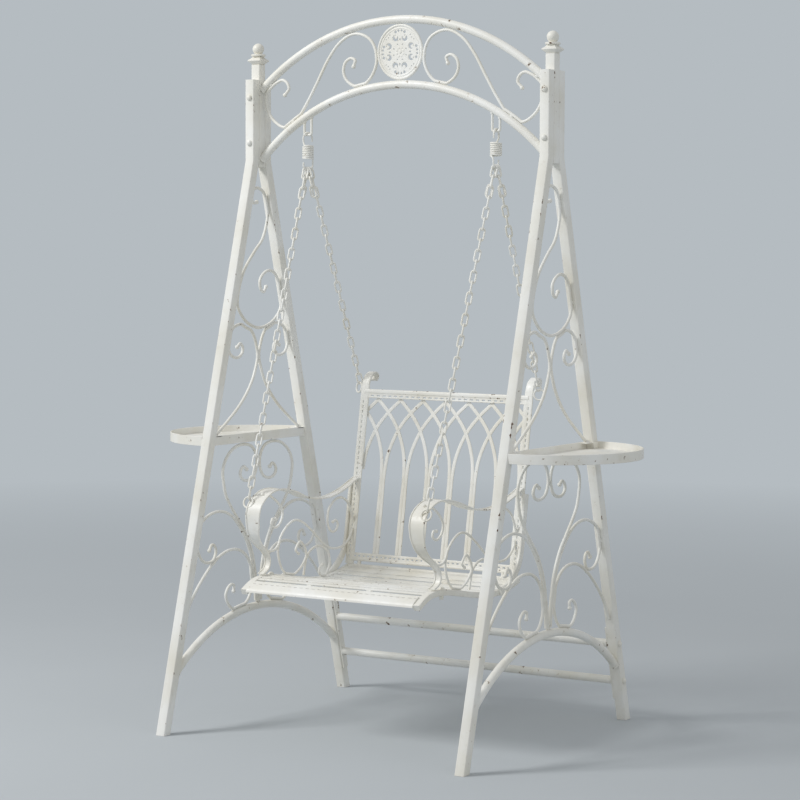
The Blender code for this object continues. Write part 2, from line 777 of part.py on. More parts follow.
def make_tie(label, x, parent):
    """The low arched tube between the front and back legs."""
    radius, centre_z = tie_circle()
    half = leg_inner_y(TIE_END_Z) - GAP
    path = on_side(x, arc(radius, centre_z, half, TIE_SEGMENTS + 1))
    outer = round_outline(TUBE_R, TUBE_SIDES, 0)
    inner = round_outline(TUBE_R - TUBE_WALL, TUBE_SIDES, 0)
    planes = []
    for turn in (-1, 1):
        normal = Vector((0, turn * math.cos(LEG_LEAN), math.sin(LEG_LEAN)))
        planes.append((Vector((x, turn * half, TIE_END_Z)), normal))
    pipe(f"side_tie_{label}", path, ALONG_X, outer, inner, planes, parent=parent)


def mirrored(path):
    return np.array(path) * (1, -1, 1)


def welded_pair(name, path, rests, parent):
    """A scroll and its mirror image, welded where they touch in the middle plane."""
    twins = [(mirrored(rest), distance) for rest, distance in rests]
    half, centres = scroll("half", path, ALONG_X, rests, both=False)
    other, _ = scroll("half", mirrored(path), ALONG_X, twins, both=False)
    join(name, [half, other], parent)
    return centres


def make_side_scrolls(label, x, parent):
    legs = [leg_rest(x, 1), leg_rest(x, -1)]
    tie = tie_rest(x)
    bars = 2 * BAR_R + GAP

    top = smooth(on_side(x, span(TOP_SCROLL_SHARES, *TOP_SCROLL_Z)))
    _, top = scroll(f"top_scroll_{label}", seat(top, legs), ALONG_X, legs, parent=parent)

    pair = smooth(on_side(x, span(PAIR_SHARES, *PAIR_Z)))
    rests = [legs[0], middle_rest(x, PAIR_Z[0], PAIR_Z[1]), (top, bars)]
    welded_pair(f"scroll_pair_{label}", seat(pair, rests), rests, parent)

    foot_z = TIE_CROWN_Z + TUBE_R + GAP
    heart = smooth(on_side(x, span(HEART_SHARES, foot_z, HEART_TOP_Z)))
    rests = [middle_rest(x, foot_z, HEART_TOP_Z)]
    heart = welded_pair(f"heart_scroll_{label}", seat(heart, rests), rests, parent)

    for place_name, turn in (("front", -1), ("back", 1)):
        leg = leg_rest(x, turn)
        own_heart = heart if turn > 0 else mirrored(heart)
        side = smooth(on_side(x, span(SIDE_SCROLL_SHARES, foot_z, SIDE_SCROLL_TOP_Z, turn)))
        rests = [leg, tie, (own_heart, bars)]
        name = f"side_scroll_{place_name}_{label}"
        _, side = scroll(name, seat(side, rests), ALONG_X, rests, both=False, parent=parent)
        span_z = (LOWER_SCROLL_FOOT_Z, LOWER_SCROLL_TOP_Z)
        lower = smooth(on_side(x, span(LOWER_SCROLL_SHARES, *span_z, turn)))
        rests = [leg, tie, (side, bars + GAP)]
        lower = seat(seat(lower, rests), rests)
        scroll(f"lower_scroll_{place_name}_{label}", lower, ALONG_X, rests, both=False, parent=parent)


def make_arch_scroll(label, turn, parent):
    low, high = ARCH_SCROLL_Z
    points = [(turn * across * ARCH_END_X, 0, low + (high - low) * up) for across, up in ARCH_SCROLL_SHARES]
    half_z, centre_z = medallion_size()
    half_x = MEDALLION_HALF_X - MEDALLION_RIM_R
    rim = oval(half_x, half_z - MEDALLION_RIM_R, centre_z, MEDALLION_POINTS)
    rim = dense(np.vstack([rim, rim[:1]]))
    distance = TUBE_R + GAP + BAR_R
    post = dense([(turn * SIDE_X, 0, POST_BOTTOM_Z), (turn * SIDE_X, 0, POST_TOP_Z)])
    rests = [
        (rim, MEDALLION_RIM_R + GAP + BAR_R),
        (arch_rest(UPPER_CROWN_Z, UPPER_END_Z), distance),
        (arch_rest(LOWER_CROWN_Z, LOWER_END_Z), distance),
        (post, POST_SIDE / 2 + GAP + BAR_R),
    ]
    path = seat(smooth(points), rests)
    scroll(f"arch_scroll_{label}", path, ALONG_Y, rests, parent=parent)


def make_u_link(label, x, parent):
    """The welded eye under the lower arch tube that the spring hooks into."""
    half = LINK_HALF_X
    bend = LINK_CORNER_R
    sides = []
    for turn in (-1, 1):
        end_x = x + turn * half
        slope_top = arch_height(LOWER_CROWN_Z, LOWER_END_Z, end_x)
        sides.append((end_x, slope_top))
    corner = [(0, bend), (LINK_CORNER_SHARE * bend, LINK_CORNER_SHARE * bend), (bend, 0)]
    left = [(sides[0][0] + a, 0, HANG_Z + b) for a, b in corner]
    right = [(sides[1][0] - a, 0, HANG_Z + b) for a, b in corner]
    path = [(sides[0][0], 0, sides[0][1])] + left + right[::-1] + [(sides[1][0], 0, sides[1][1])]
    wire = bar("link", path, ALONG_Y, round_outline(LINK_WIRE_R, 8))
    radius, centre_z = circle_through(ARCH_END_X, LOWER_CROWN_Z, LOWER_END_Z)
    tube = [(x, 0, z) for x, z in arc(radius, centre_z, ARCH_END_X, ARCH_SEGMENTS + 1)]
    cutter = bar("tube", tube, ALONG_Y, round_outline(TUBE_R + GAP, TUBE_SIDES, 0))
    cut(f"u_link_{label}", wire, [cutter], parent)


# Trays


def make_tray(label, turn, parent):
    """A half-round shelf with an upright rim, fitted round and between the legs."""
    thick = TRAY_RIM_THICK
    top = TRAY_BOTTOM_Z + TRAY_RIM_HEIGHT
    leg_out = SIDE_X + LEG_SIDE / 2 + TRAY_LEG_GAP

    def outline(z, inset):
        """Points round the tray at a height, starting on its straight edge."""
        edge = leg_inner_y(z) - TRAY_LEG_GAP - inset
        inner_x = TRAY_INNER_X + inset
        radius = TRAY_R - inset
        step_x = leg_out + inset
        from_centre = step_x - SIDE_X
        step_y = math.sqrt(radius**2 - from_centre**2)
        start = math.acos(from_centre / radius)
        angles = [start * (1 - 2 * i / TRAY_ARC_SEGMENTS) for i in range(TRAY_ARC_SEGMENTS + 1)]
        curve = [(SIDE_X + radius * math.cos(a), radius * math.sin(a)) for a in angles]
        flat = [(inner_x, edge), (step_x, edge)] + curve
        flat = flat[:2] + [(step_x, step_y)] + curve[1:-1] + [(step_x, -step_y)]
        flat = flat + [(step_x, -edge), (inner_x, -edge)]
        return [(turn * x, y, z) for x, y in flat]

    floor_z = TRAY_BOTTOM_Z + TRAY_FLOOR_LIFT
    bottom = outline(TRAY_BOTTOM_Z, 0)
    under_rim = outline(TRAY_BOTTOM_Z, thick)
    under_floor = outline(floor_z, thick)
    over_floor = outline(floor_z + TRAY_FLOOR_THICK, thick)
    rim_inside = outline(top, thick)
    rim_outside = outline(top, 0)
    rings = [under_floor, under_rim, bottom, rim_outside, rim_inside, over_floor]
    body = solid("tray", flatten(rings), skin(rings))
    tabs = []
    for end in (-1, 1):
        outer_y = leg_inner_y(top) - TRAY_LEG_GAP - thick / 2
        sides_x = sorted((turn * (TRAY_INNER_X + thick / 2), turn * (leg_out + thick / 2)))
        sides_y = sorted((end * (outer_y - TRAY_TAB_LENGTH), end * outer_y))
        low = (sides_x[0], sides_y[0], top - TRAY_TAB_THICK)
        tabs.append(box("tab", low, (sides_x[1], sides_y[1], top - GAP)))
    join(f"tray_{label}", [body] + tabs, parent)


# Rear brace


def make_brace(parent):
    """A ladder of two tubes welded between two flat ends, bolted between the back legs."""
    inner_x = SIDE_X - LEG_SIDE / 2 - GAP
    outline = flat_outline(BRACE_PLATE_THICK, BRACE_PLATE_WIDTH)
    pieces = []
    cutters = []
    for label, turn in (("left", -1), ("right", 1)):
        x = turn * (inner_x - BRACE_PLATE_THICK / 2)
        path = [(x, leg_y(z), z) for z in (BRACE_PLATE_BOTTOM_Z, BRACE_PLATE_TOP_Z)]
        pieces.append(bar("plate", path, ALONG_X, outline))
        for height_name, z in zip(("upper", "lower"), BRACE_BOLT_Z):
            cutters.append(drill((x, leg_y(z), z), ALONG_X, BOLT_HOLE_R, BRACE_PLATE_THICK + OVERRUN))
            head = (turn * (SIDE_X + LEG_SIDE / 2 + GAP), leg_y(z), z)
            length = LEG_SIDE + 2 * GAP + BRACE_PLATE_THICK
            bolt(f"brace_bolt_{height_name}_{label}", head, ALONG_X * turn, length, parent)
    reach = inner_x - BRACE_PLATE_THICK + WELD
    outer = round_outline(TUBE_R, TUBE_SIDES, 0)
    inner = round_outline(TUBE_R - TUBE_WALL, TUBE_SIDES, 0)
    for z in (BRACE_UPPER_Z, BRACE_LOWER_Z):
        pieces.append(pipe("rail", [(-reach, leg_y(z), z), (reach, leg_y(z), z)], ALONG_Y, outer, inner))
    cut("rear_brace", join("ladder", pieces), cutters, parent)


# Springs and chains

UPPER_HOOK_SHARES = (
    (-1.0, 0.30), (-0.98, 0.62), (-0.72, 0.87), (-0.30, 0.995), (0, 1.0), (0.38, 0.95),
    (0.76, 0.76), (0.90, 0.5), (0.84, 0.30),
)
LOWER_HOOK_SHARES = (
    (1.0, 0.25), (0.99, 0.55), (0.86, 0.84), (0.56, 0.99), (0.48, 1.0), (0, 1.0),
    (-0.48, 1.0), (-0.56, 0.99), (-0.86, 0.84), (-0.97, 0.55), (-0.93, 0.32),
)


def spring_points():
    """The wire's centre line about x = 0: upper hook, coil, lower hook."""
    r = SPRING_MEAN_R
    up = HOOK_WIRE_Z - SPRING_TOP_Z
    coil_length = SPRING_TURNS * SPRING_PITCH
    bottom = SPRING_TOP_Z - coil_length
    upper = [(0, across * r, SPRING_TOP_Z + up * share) for across, share in UPPER_HOOK_SHARES]
    lower = [(0, across * r, bottom - HOOK_DROP * share) for across, share in LOWER_HOOK_SHARES]
    count = round(SPRING_TURNS * SPRING_POINTS_PER_TURN + SPRING_POINTS_PER_TURN / 2)
    coil = []
    for i in range(count + 1):
        turn = i / count
        angle = -math.pi / 2 + 2 * math.pi * (SPRING_TURNS + 0.5) * turn
        coil.append((r * math.cos(angle), r * math.sin(angle), SPRING_TOP_Z - coil_length * turn))
    return upper[::-1], coil, lower


def smooth_hook(points):
    return [tuple(p) for p in thin(smooth(points), HOOK_TURN, SAG_LIMIT)]


def least_gap(points, wire_r):
    """Least free space between the wire and itself, measured on close points along it."""
    line = dense(points)
    step = np.linalg.norm(np.diff(line, axis=0), axis=1)
    along = np.concatenate([[0], np.cumsum(step)])
    least = math.inf
    for i in range(0, len(line), 3):
        far = np.abs(along - along[i]) > 4 * wire_r * math.pi / 2
        least = min(least, np.linalg.norm(line[far] - line[i], axis=1).min())
    return least - 2 * wire_r


def make_spring(label, x, parent):
    upper, coil, lower = spring_points()
    path = smooth_hook(upper)[:-1] + coil + smooth_hook(lower)[1:]
    print(f"spring_{label}: least gap {least_gap(path, SPRING_WIRE_R) * 1000:.2f} mm")
    curve = bpy.data.curves.new(f"spring_{label}", "CURVE")
    curve.dimensions = "3D"
    curve.bevel_depth = SPRING_WIRE_R
    curve.bevel_resolution = 1
    curve.use_fill_caps = True
    spline = curve.splines.new("POLY")
    spline.points.add(len(path) - 1)
    for point, (px, py, pz) in zip(spline.points, path):
        point.co = (x + px, py, pz, 1)
    curve.materials.append(iron(f"spring_{label}"))
    obj = bpy.data.objects.new(f"spring_{label}", curve)
    bpy.context.scene.collection.objects.link(obj)
    attach(obj, parent)
    return obj


def link_path(top, bottom, across):
    """Corners of one long link. Its crowns reach top and bottom, and it lies in the plane of across."""
    down = (bottom - top).normalized()
    length = (bottom - top).length
    half = CHAIN_WIDTH / 2 - CHAIN_WIRE_R / 2
    corners = [(CHAIN_CROWN_HALF, 0), (half, length / 2), (CHAIN_CROWN_HALF, length)]
    corners = corners + [(-a, b) for a, b in corners[::-1]]
    return [top + across * a + down * b for a, b in corners]


def chain_links(start, end, count):
    """Two lists of the links between two crown centres: those in the plane of X, and those across it."""
    down = (end - start).normalized()
    overlap = 2 * (CHAIN_WIRE_R - WELD)
    pitch = ((end - start).length - overlap) / count
    flat = (ALONG_X - down * down.dot(ALONG_X)).normalized()
    planes = (flat, down.cross(flat))
    groups = ([], [])
    for i in range(count):
        across = planes[i % 2]
        top = start + down * (pitch * i)
        bottom = top + down * (pitch + overlap)
        link = link_path(top, bottom, across)
        outline = round_outline(CHAIN_WIRE_R, CHAIN_SIDES, 0.25)
        groups[i % 2].append(sweep_rings(link, across.cross(down).normalized(), outline, closed=True))
    return groups


def loops(name, many_rings):
    points = []
    faces = []
    for rings in many_rings:
        faces.extend(skin(rings, closed=True, first=len(points)))
        points.extend(flatten(rings))
    return solid(name, points, faces)


def make_chain(name, turn, hook_y, tail_y, link_count, ring, parent):
    """A chain from a spring's lower hook to an end ring, with its loose tail beside it on the hook."""
    centre, first, second, grip = ring
    hook_z = SPRING_TOP_Z - SPRING_TURNS * SPRING_PITCH - HOOK_DROP
    lift = SPRING_WIRE_R + 2 * GAP + CHAIN_WIRE_R
    hook = Vector((turn * HANG_X, hook_y, hook_z))
    down = (grip - hook).normalized()
    hold = RING_WIRE_R + CHAIN_WIRE_R - WELD
    groups = chain_links(hook - down * lift, grip + down * hold, link_count)
    side = turn if hook_y > 0 else -turn
    tail_down = Vector((side * math.sin(TAIL_SPLAY), 0, -math.cos(TAIL_SPLAY)))
    tail_start = Vector((turn * HANG_X, tail_y, hook_z)) - tail_down * lift
    tail = chain_links(tail_start, tail_start + tail_down * TAIL_PITCH * TAIL_LINKS, TAIL_LINKS)
    angles = [2 * math.pi * i / RING_POINTS for i in range(RING_POINTS)]
    circle = [centre + first * (RING_R * math.cos(a)) + second * (RING_R * math.sin(a)) for a in angles]
    eye = bar("eye", circle, first.cross(second), round_outline(RING_WIRE_R, RING_SIDES), closed=True)
    odd = loops("odd", groups[0] + tail[1])
    even = loops("even", groups[1])
    loose = loops("loose", tail[0])
    join(name, [odd, even, loose, eye], parent)


# Bench: seat, back and arms

BACK_UP = Vector((0, BACK_TOP[0] - BACK_FOOT[0], BACK_TOP[1] - BACK_FOOT[1])).normalized()
BACK_REAR = BACK_UP.cross(ALONG_X)
BACK_HEIGHT = math.hypot(BACK_TOP[0] - BACK_FOOT[0], BACK_TOP[1] - BACK_FOOT[1])
POST_X = BENCH_OUTER_X - POST_WIDTH / 2
POST_CURL_LINE = (
    (0.0, 0.0), (0.003, 0.019), (0.008, 0.038), (0.017, 0.054), (0.032, 0.064), (0.045, 0.067),
    (0.058, 0.061), (0.060, 0.051), (0.051, 0.042),
)
BACK_HOLE_UP = 0.525
BACK_HOLE_INSET = 0.0085
BACK_RING_TURN = math.radians(38)
ARM_HOLE = (-0.352, 0.699)

SEAT_LINE = (
    (-0.384, 0.447), (-0.345, 0.466), (-0.314, 0.475), (-0.250, 0.477), (-0.163, 0.465),
    (-0.076, 0.450), (-0.010, 0.4415), (0.050, 0.438), (0.100, 0.4425), (0.150, 0.4505), (0.200, 0.463),
)
ARM_LINE = (
    (0.2245, 0.734), (0.190, 0.721), (0.144, 0.705), (0.098, 0.694), (0.053, 0.687), (0.000, 0.687),
    (-0.050, 0.692), (-0.100, 0.703), (-0.147, 0.7185), (-0.204, 0.732), (-0.245, 0.737), (-0.290, 0.733),
    (-0.330, 0.715), (-0.352, 0.695), (-0.361, 0.670), (-0.359, 0.635), (-0.348, 0.602), (-0.318, 0.573),
    (-0.285, 0.552), (-0.267, 0.530), (-0.264, 0.512), (-0.272, 0.496), (-0.296, 0.484), (-0.340, 0.470),
)
ARM_WIDTHS = (
    0.026, 0.026, 0.028, 0.030, 0.031, 0.032, 0.034, 0.040, 0.047, 0.052, 0.054, 0.054,
    0.054, 0.053, 0.052, 0.050, 0.045, 0.041, 0.038, 0.036, 0.036, 0.036, 0.036, 0.036,
)
STRUT_LINE = (
    (0.2275, 0.716), (0.2185, 0.665), (0.2115, 0.622), (0.2045, 0.578), (0.1985, 0.545),
    (0.1890, 0.516), (0.172, 0.490), (0.143, 0.464), (0.107, 0.442), (0.072, 0.4305),
)
HOOK_SCROLL_LINE = (
    (-0.306, 0.7275), (-0.290, 0.717), (-0.262, 0.707), (-0.240, 0.690), (-0.228, 0.668), (-0.230, 0.647),
    (-0.242, 0.633), (-0.262, 0.628), (-0.282, 0.636), (-0.290, 0.650), (-0.284, 0.658), (-0.273, 0.658),
)
LONG_SCROLL_LINE = (
    (0.202, 0.575), (0.190, 0.556), (0.172, 0.538), (0.144, 0.524), (0.104, 0.520), (0.066, 0.526),
    (0.029, 0.544), (-0.003, 0.568), (-0.045, 0.598), (-0.092, 0.624), (-0.128, 0.630), (-0.165, 0.617),
    (-0.200, 0.588), (-0.214, 0.563), (-0.232, 0.550), (-0.258, 0.548), (-0.280, 0.554), (-0.300, 0.563),
)
OVAL_SCROLL_LINE = (
    (-0.205, 0.577), (-0.216, 0.545), (-0.196, 0.490), (-0.153, 0.462), (-0.098, 0.477), (-0.063, 0.515),
    (-0.070, 0.539), (-0.095, 0.561), (-0.112, 0.550), (-0.120, 0.537), (-0.108, 0.527),
)
FAN_SCROLL_LINE = (
    (-0.079, 0.448), (-0.070, 0.482), (-0.059, 0.510), (-0.041, 0.527), (0, 0.538), (0.035, 0.530),
    (0.062, 0.507), (0.069, 0.482), (0.058, 0.456), (0.041, 0.440), (0.011, 0.452), (0.011, 0.467),
    (0.023, 0.475),
)
REAR_SCROLL_LINE = (
    (0.2075, 0.588), (0.200, 0.611), (0.191, 0.631), (0.174, 0.657), (0.140, 0.677), (0.110, 0.677),
    (0.087, 0.667), (0.062, 0.645), (0.056, 0.610), (0.064, 0.588), (0.081, 0.575), (0.104, 0.578),
    (0.114, 0.596), (0.103, 0.609), (0.090, 0.606),
)


def back_point(x, up):
    """A point of the backrest's middle plane: across, and up along its posts from the bottom rail."""
    foot = Vector((0, BACK_FOOT[0], BACK_FOOT[1]))
    return foot + ALONG_X * x + BACK_UP * up


def rail_line():
    """Centre line of a side rail at x = 0, at the corners that its bar is made from."""
    return thin(seat_path(), RAIL_TURN, SAG_LIMIT)


def arm_rest():
    """The side rail's centre line and the distance at which the arm band's foot lies on it."""
    return dense(rail_line()), SEAT_BAR_TALL / 2 + GAP + FOOT_LIFT + ARM_THICK / 2


def arm_path():
    """The arm band's centre line at x = 0, laid on the front of the seat."""
    return seat(smooth([(0, y, z) for y, z in ARM_LINE]), [arm_rest()])


def arm_hole(turn):
    """(point, outward normal) of the ring's hole in the front of the arm."""
    line = arm_path()
    near = np.linalg.norm(line[:, 1:] - np.array(ARM_HOLE), axis=1).argmin()
    along = Vector(line[near + ARM_HOLE_REACH] - line[near - ARM_HOLE_REACH]).normalized()
    normal = along.cross(ALONG_X)
    if normal.z < 0:
        normal.negate()
    x = FRONT_RING_X - math.sqrt(RING_R**2 - FRONT_RING_OFF**2)
    return Vector((turn * x, line[near][1], line[near][2])), normal


def front_ring(turn):
    """(centre, two directions in its plane, point where the chain pulls) of the ring at an arm's front."""
    hole, normal = arm_hole(turn)
    centre = Vector((turn * FRONT_RING_X, hole.y, hole.z)) + normal * FRONT_RING_OFF
    return centre, ALONG_X * turn, normal, centre + normal * RING_R


def back_hole(turn):
    return back_point(turn * (BENCH_OUTER_X - BACK_HOLE_INSET), BACK_HOLE_UP)


def back_ring(turn):
    hole = back_hole(turn)
    half_chord = math.sqrt(RING_R**2 - BACK_RING_OFF**2)
    up = ALONG_X * (turn * math.sin(BACK_RING_TURN)) + BACK_UP * math.cos(BACK_RING_TURN)
    centre = hole + up * half_chord - BACK_REAR * BACK_RING_OFF
    pull = Vector((turn * HANG_X, 0, SPRING_TOP_Z)) - centre
    flat = (up * pull.dot(up) + BACK_REAR * pull.dot(BACK_REAR)).normalized()
    return centre, up, BACK_REAR, centre + flat * RING_R


# Outlines across the rails, as shares of their depth, rearwards, and of their height
TOP_RAIL_SHARES = (
    (-0.32, -0.5), (0.42, -0.5), (0.42, 0.1), (0.25, 0.36),
    (-0.05, 0.5), (-0.5, 0.5), (-0.5, 0.36), (-0.32, 0.3),
)
BOTTOM_RAIL_SHARES = ((-0.7, -0.5), (0.5, -0.5), (0.5, 0.3), (0.2, 0.5), (-0.7, 0.5))


def make_backrest_frame(parent):
    outline = flat_outline(POST_WIDTH, POST_THICK, POST_THICK * CHAMFER_SHARE)
    pieces = []
    rear_z = SEAT_LINE[-1][1] + GAP
    tail = (BACK_FOOT[1] - rear_z) / BACK_UP.z
    for turn in (-1, 1):
        x = turn * POST_X
        top = back_point(x, BACK_HEIGHT)
        curl = [tuple(top + ALONG_Y * back + ALONG_Z * up) for back, up in POST_CURL_LINE]
        line = smooth([tuple(back_point(x, -tail)), tuple(back_point(x, BACK_HEIGHT / 2))] + curl)
        path = thin(line, POST_TURN, SAG_LIMIT)
        planes = ((Vector((x, 0, rear_z)), ALONG_Z), None)
        pieces.append(bar("post", path, ALONG_X, outline, planes=planes))
        pieces.append(arm_scroll(turn, REAR_SCROLL_LINE, [], False, True))
    top_path = [back_point(-POST_X, BACK_HEIGHT), back_point(POST_X, BACK_HEIGHT)]
    rail = [(a * RAIL_DEPTH, b * TOP_RAIL_TALL) for a, b in TOP_RAIL_SHARES]
    pieces.append(bar("rail", top_path, BACK_REAR, rail))
    low_path = [back_point(-POST_X, 0), back_point(POST_X, 0)]
    low = [(a * RAIL_DEPTH, b * BOTTOM_RAIL_TALL) for a, b in BOTTOM_RAIL_SHARES]
    pieces.append(bar("low_rail", low_path, BACK_REAR, low))
    frame = join("joined", pieces)
    cutters = [drill(back_hole(turn), BACK_REAR, RING_HOLE_R, 2 * POST_THICK) for turn in (-1, 1)]
    cut("backrest_frame", frame, cutters, parent)


TRACERY_SHARES = ((0, 0), (0.12, 0.28), (0.5, 0.60), (1.0, 0.83), (1.5, 1.0))


def make_tracery(parent):
    """Seven pointed bays: double uprights whose halves part, bend over and cross up to the top rail."""
    inner = BENCH_OUTER_X - POST_WIDTH - GAP
    grid = BAYS * BAY_WIDTH / 2
    low = BOTTOM_RAIL_TALL / 2 + GAP
    high = BACK_HEIGHT - TOP_RAIL_TALL / 2 - GAP
    fork = low + (high - low) * TRACERY_FORK_SHARE
    half = STRIP_WIDTH / 2

    def strip(points, thick):
        path = [tuple(back_point(x, up)) for x, up in points]
        return bar("strip", thin(path, RAIL_TURN, SAG_LIMIT), BACK_REAR, flat_outline(thick, STRIP_WIDTH))

    def lean(base, way):
        """The bent half of an upright, from its fork to the peak one and a half bays away."""
        knots = []
        for across, up in TRACERY_SHARES:
            off = half * (1 - across / ARCH_BAYS)
            x = base * BAY_WIDTH - grid + way * (across * BAY_WIDTH + off)
            knots.append((x, 0, fork + (high - half - fork) * up))
        return [(x, up) for x, _, up in smooth(knots)]

    pieces = []
    thick = STRIP_THICK + 3 * STRIP_STEP
    for up, sign in ((low, 1), (high, -1)):
        level = up + sign * thick / 2
        path = [tuple(back_point(-grid, level)), tuple(back_point(grid, level))]
        pieces.append(bar("edge", path, BACK_REAR, flat_outline(thick, thick)))
    for i in range(1, BAYS):
        x = i * BAY_WIDTH - grid
        path = [tuple(back_point(x, low)), tuple(back_point(x, fork + STRIP_WIDTH))]
        outline = flat_outline(STRIP_THICK + 2 * STRIP_STEP, 2 * STRIP_WIDTH)
        pieces.append(bar("upright", path, BACK_REAR, outline))
    for i in range(-1, BAYS):
        pieces.append(strip(lean(i, 1), STRIP_THICK))
    for i in range(1, BAYS + 2):
        pieces.append(strip(lean(i, -1), STRIP_THICK + STRIP_STEP))
    whole = join("whole", pieces)
    opening = [tuple(back_point(-inner, (low + high) / 2)), tuple(back_point(inner, (low + high) / 2))]
    opening = bar("opening", opening, BACK_REAR, flat_outline(2 * STRIP_WIDTH, high - low))
    combine("backrest_tracery", whole, [opening], "INTERSECT", parent)


def seat_path():
    """Centre line of the seat's side rails at x = 0."""
    return smooth([(0, y, z - SEAT_BAR_TALL / 2) for y, z in SEAT_LINE])


def make_seat(parent):
    outline = flat_outline(SEAT_BAR_WIDTH, SEAT_BAR_TALL, SEAT_BAR_TALL * CHAMFER_SHARE)
    pieces = []
    x = BENCH_OUTER_X - SEAT_BAR_WIDTH / 2
    for turn in (-1, 1):
        path = rail_line() + np.array([turn * x, 0, 0])
        pieces.append(bar("side", path, ALONG_X, outline))
    y, z = SEAT_LINE[0]
    top = []
    for share in FRONT_ROLL_SHARES:
        angle = share * math.pi / 2
        top.append((y + FRONT_ROLL_R * (1 - math.sin(angle)), z - FRONT_ROLL_R * (1 - math.cos(angle))))
    top = [(y, z - FRONT_ROLL_R - FRONT_DROP)] + [(2 * y - a + FRONT_ROLL_R, b) for a, b in top[::-1]]
    front = thickened([(a - FRONT_ROLL_R, b) for a, b in top], FRONT_THICK)
    rings = [[(end, a, b) for a, b in front] for end in (GAP - BENCH_OUTER_X, BENCH_OUTER_X - GAP)]
    pieces.append(solid("front", flatten(rings), skin(rings)))
    y, z = SEAT_LINE[-1]
    low = SEAT_BAR_TALL * REAR_BAR_SHARE
    back_path = [(end, y - SEAT_BAR_WIDTH / 2, z - SEAT_BAR_TALL / 2) for end in (-x, x)]
    pieces.append(bar("back", back_path, ALONG_Y, flat_outline(SEAT_BAR_WIDTH, low, low * CHAMFER_SHARE)))
    join("seat_frame", pieces, parent)


def thickened(outer, thick):
    """A closed outline of even thickness below a run of (y, z) points."""
    inner = []
    for i, (y, z) in enumerate(outer):
        before = outer[max(i - 1, 0)]
        after = outer[min(i + 1, len(outer) - 1)]
        along = Vector((after[0] - before[0], after[1] - before[1])).normalized()
        inner.append((y + along.y * thick, z - along.x * thick))
    return outer + inner[::-1]


def make_slats(parent):
    """Flat slats across the seat, welded on two runners beneath them."""
    line = seat_path() + np.array([0, 0, SEAT_BAR_TALL / 2])
    reach = BENCH_OUTER_X - SEAT_BAR_WIDTH - GAP
    lengths = np.concatenate([[0], np.cumsum(np.linalg.norm(np.diff(line, axis=0), axis=1))])
    start = FRONT_ROLL_R + SLAT_CLEAR
    end = lengths[-1] - SEAT_BAR_WIDTH - SLAT_CLEAR
    pieces = []
    under = line[(lengths > start) & (lengths < end)]
    under = under - np.array([0, 0, SLAT_SINK + SLAT_THICK + SLAT_BAR_THICK / 2 - 2 * WELD])
    for turn in (-1, 1):
        path = thin(under, RAIL_TURN, WELD) + np.array([turn * SLAT_BAR_X, 0, 0])
        pieces.append(bar("runner", path, ALONG_X, flat_outline(SLAT_BAR_WIDTH, SLAT_BAR_THICK)))
    step = (end - start) / SLAT_COUNT
    for i in range(SLAT_COUNT):
        at = np.searchsorted(lengths, start + step * (i + 0.5))
        along = Vector(line[at + 2] - line[at - 2]).normalized()
        centre = Vector(line[at]) - ALONG_X.cross(along) * (SLAT_THICK / 2 + SLAT_SINK)
        path = [centre - ALONG_X * reach, centre + ALONG_X * reach]
        pieces.append(bar("slat", path, along, flat_outline(SLAT_WIDTH, SLAT_THICK)))
    join("seat_slats", pieces, parent)


def arm_scroll(turn, line, rests, both, balls):
    """One thin scroll below an arm, with its ball end last, or with balls at both ends."""
    path = seat(smooth([(turn * ARM_BAR_X, y, z) for y, z in line]), rests)[::-1]
    ball = BALL_END_R * ARM_BAR_R / BAR_R
    return scroll("scroll", path, ALONG_X, rests, ARM_BAR_R, ball, both, balls)[0]


def make_arm(label, turn, parent):
    line = arm_path()
    thinned = thin(line, ARM_TURN, SAG_LIMIT, touching(line, [arm_rest()]))
    knots = np.array(ARM_LINE)
    scales = []
    for point in thinned:
        away = np.linalg.norm(knots - point[1:], axis=1)
        near = away.argsort()[:2]
        width = np.average(np.array(ARM_WIDTHS)[near], weights=1 / (away[near] + CURVE_STEP))
        scales.append((width, 1))
    rearward = np.clip(thinned[:, 1] / ARM_LINE[0][0], 0, 1)
    path = thinned + np.outer(ARM_X + (ARM_REAR_X - ARM_X) * rearward, (turn, 0, 0))
    outline = [(a, b * ARM_THICK) for a, b in flat_outline(1, 1)]
    band = bar("band", path, ALONG_X, outline, scales)
    hook = arm_scroll(turn, HOOK_SCROLL_LINE, [], True, True)
    hole, normal = arm_hole(turn)
    band = join("welded", [band, hook])
    cut(f"arm_band_{label}", band, [drill(hole, normal, RING_HOLE_R, 3 * ARM_THICK)], parent)


def make_arm_scrolls(label, turn, parent):
    """The scrolled filling under an arm, welded where its bars cross."""
    shift = np.array([turn * ARM_BAR_X, 0, 0])
    rail_rest = (dense(rail_line()) + shift, SEAT_BAR_TALL / 2 + GAP + ARM_BAR_R)
    post = dense([tuple(back_point(shift[0], -BACK_HEIGHT / 8)), tuple(back_point(shift[0], BACK_HEIGHT))])
    rests = [(arm_path() + shift, ARM_THICK / 2 + GAP + ARM_BAR_R), rail_rest]
    rests.append((post, POST_THICK / 2 + GAP + ARM_BAR_R))
    pieces = [
        arm_scroll(turn, LONG_SCROLL_LINE, rests, False, False),
        arm_scroll(turn, OVAL_SCROLL_LINE, rests, False, True),
        arm_scroll(turn, FAN_SCROLL_LINE, rests, False, True),
    ]
    join(f"arm_scrolls_{label}", pieces, parent)


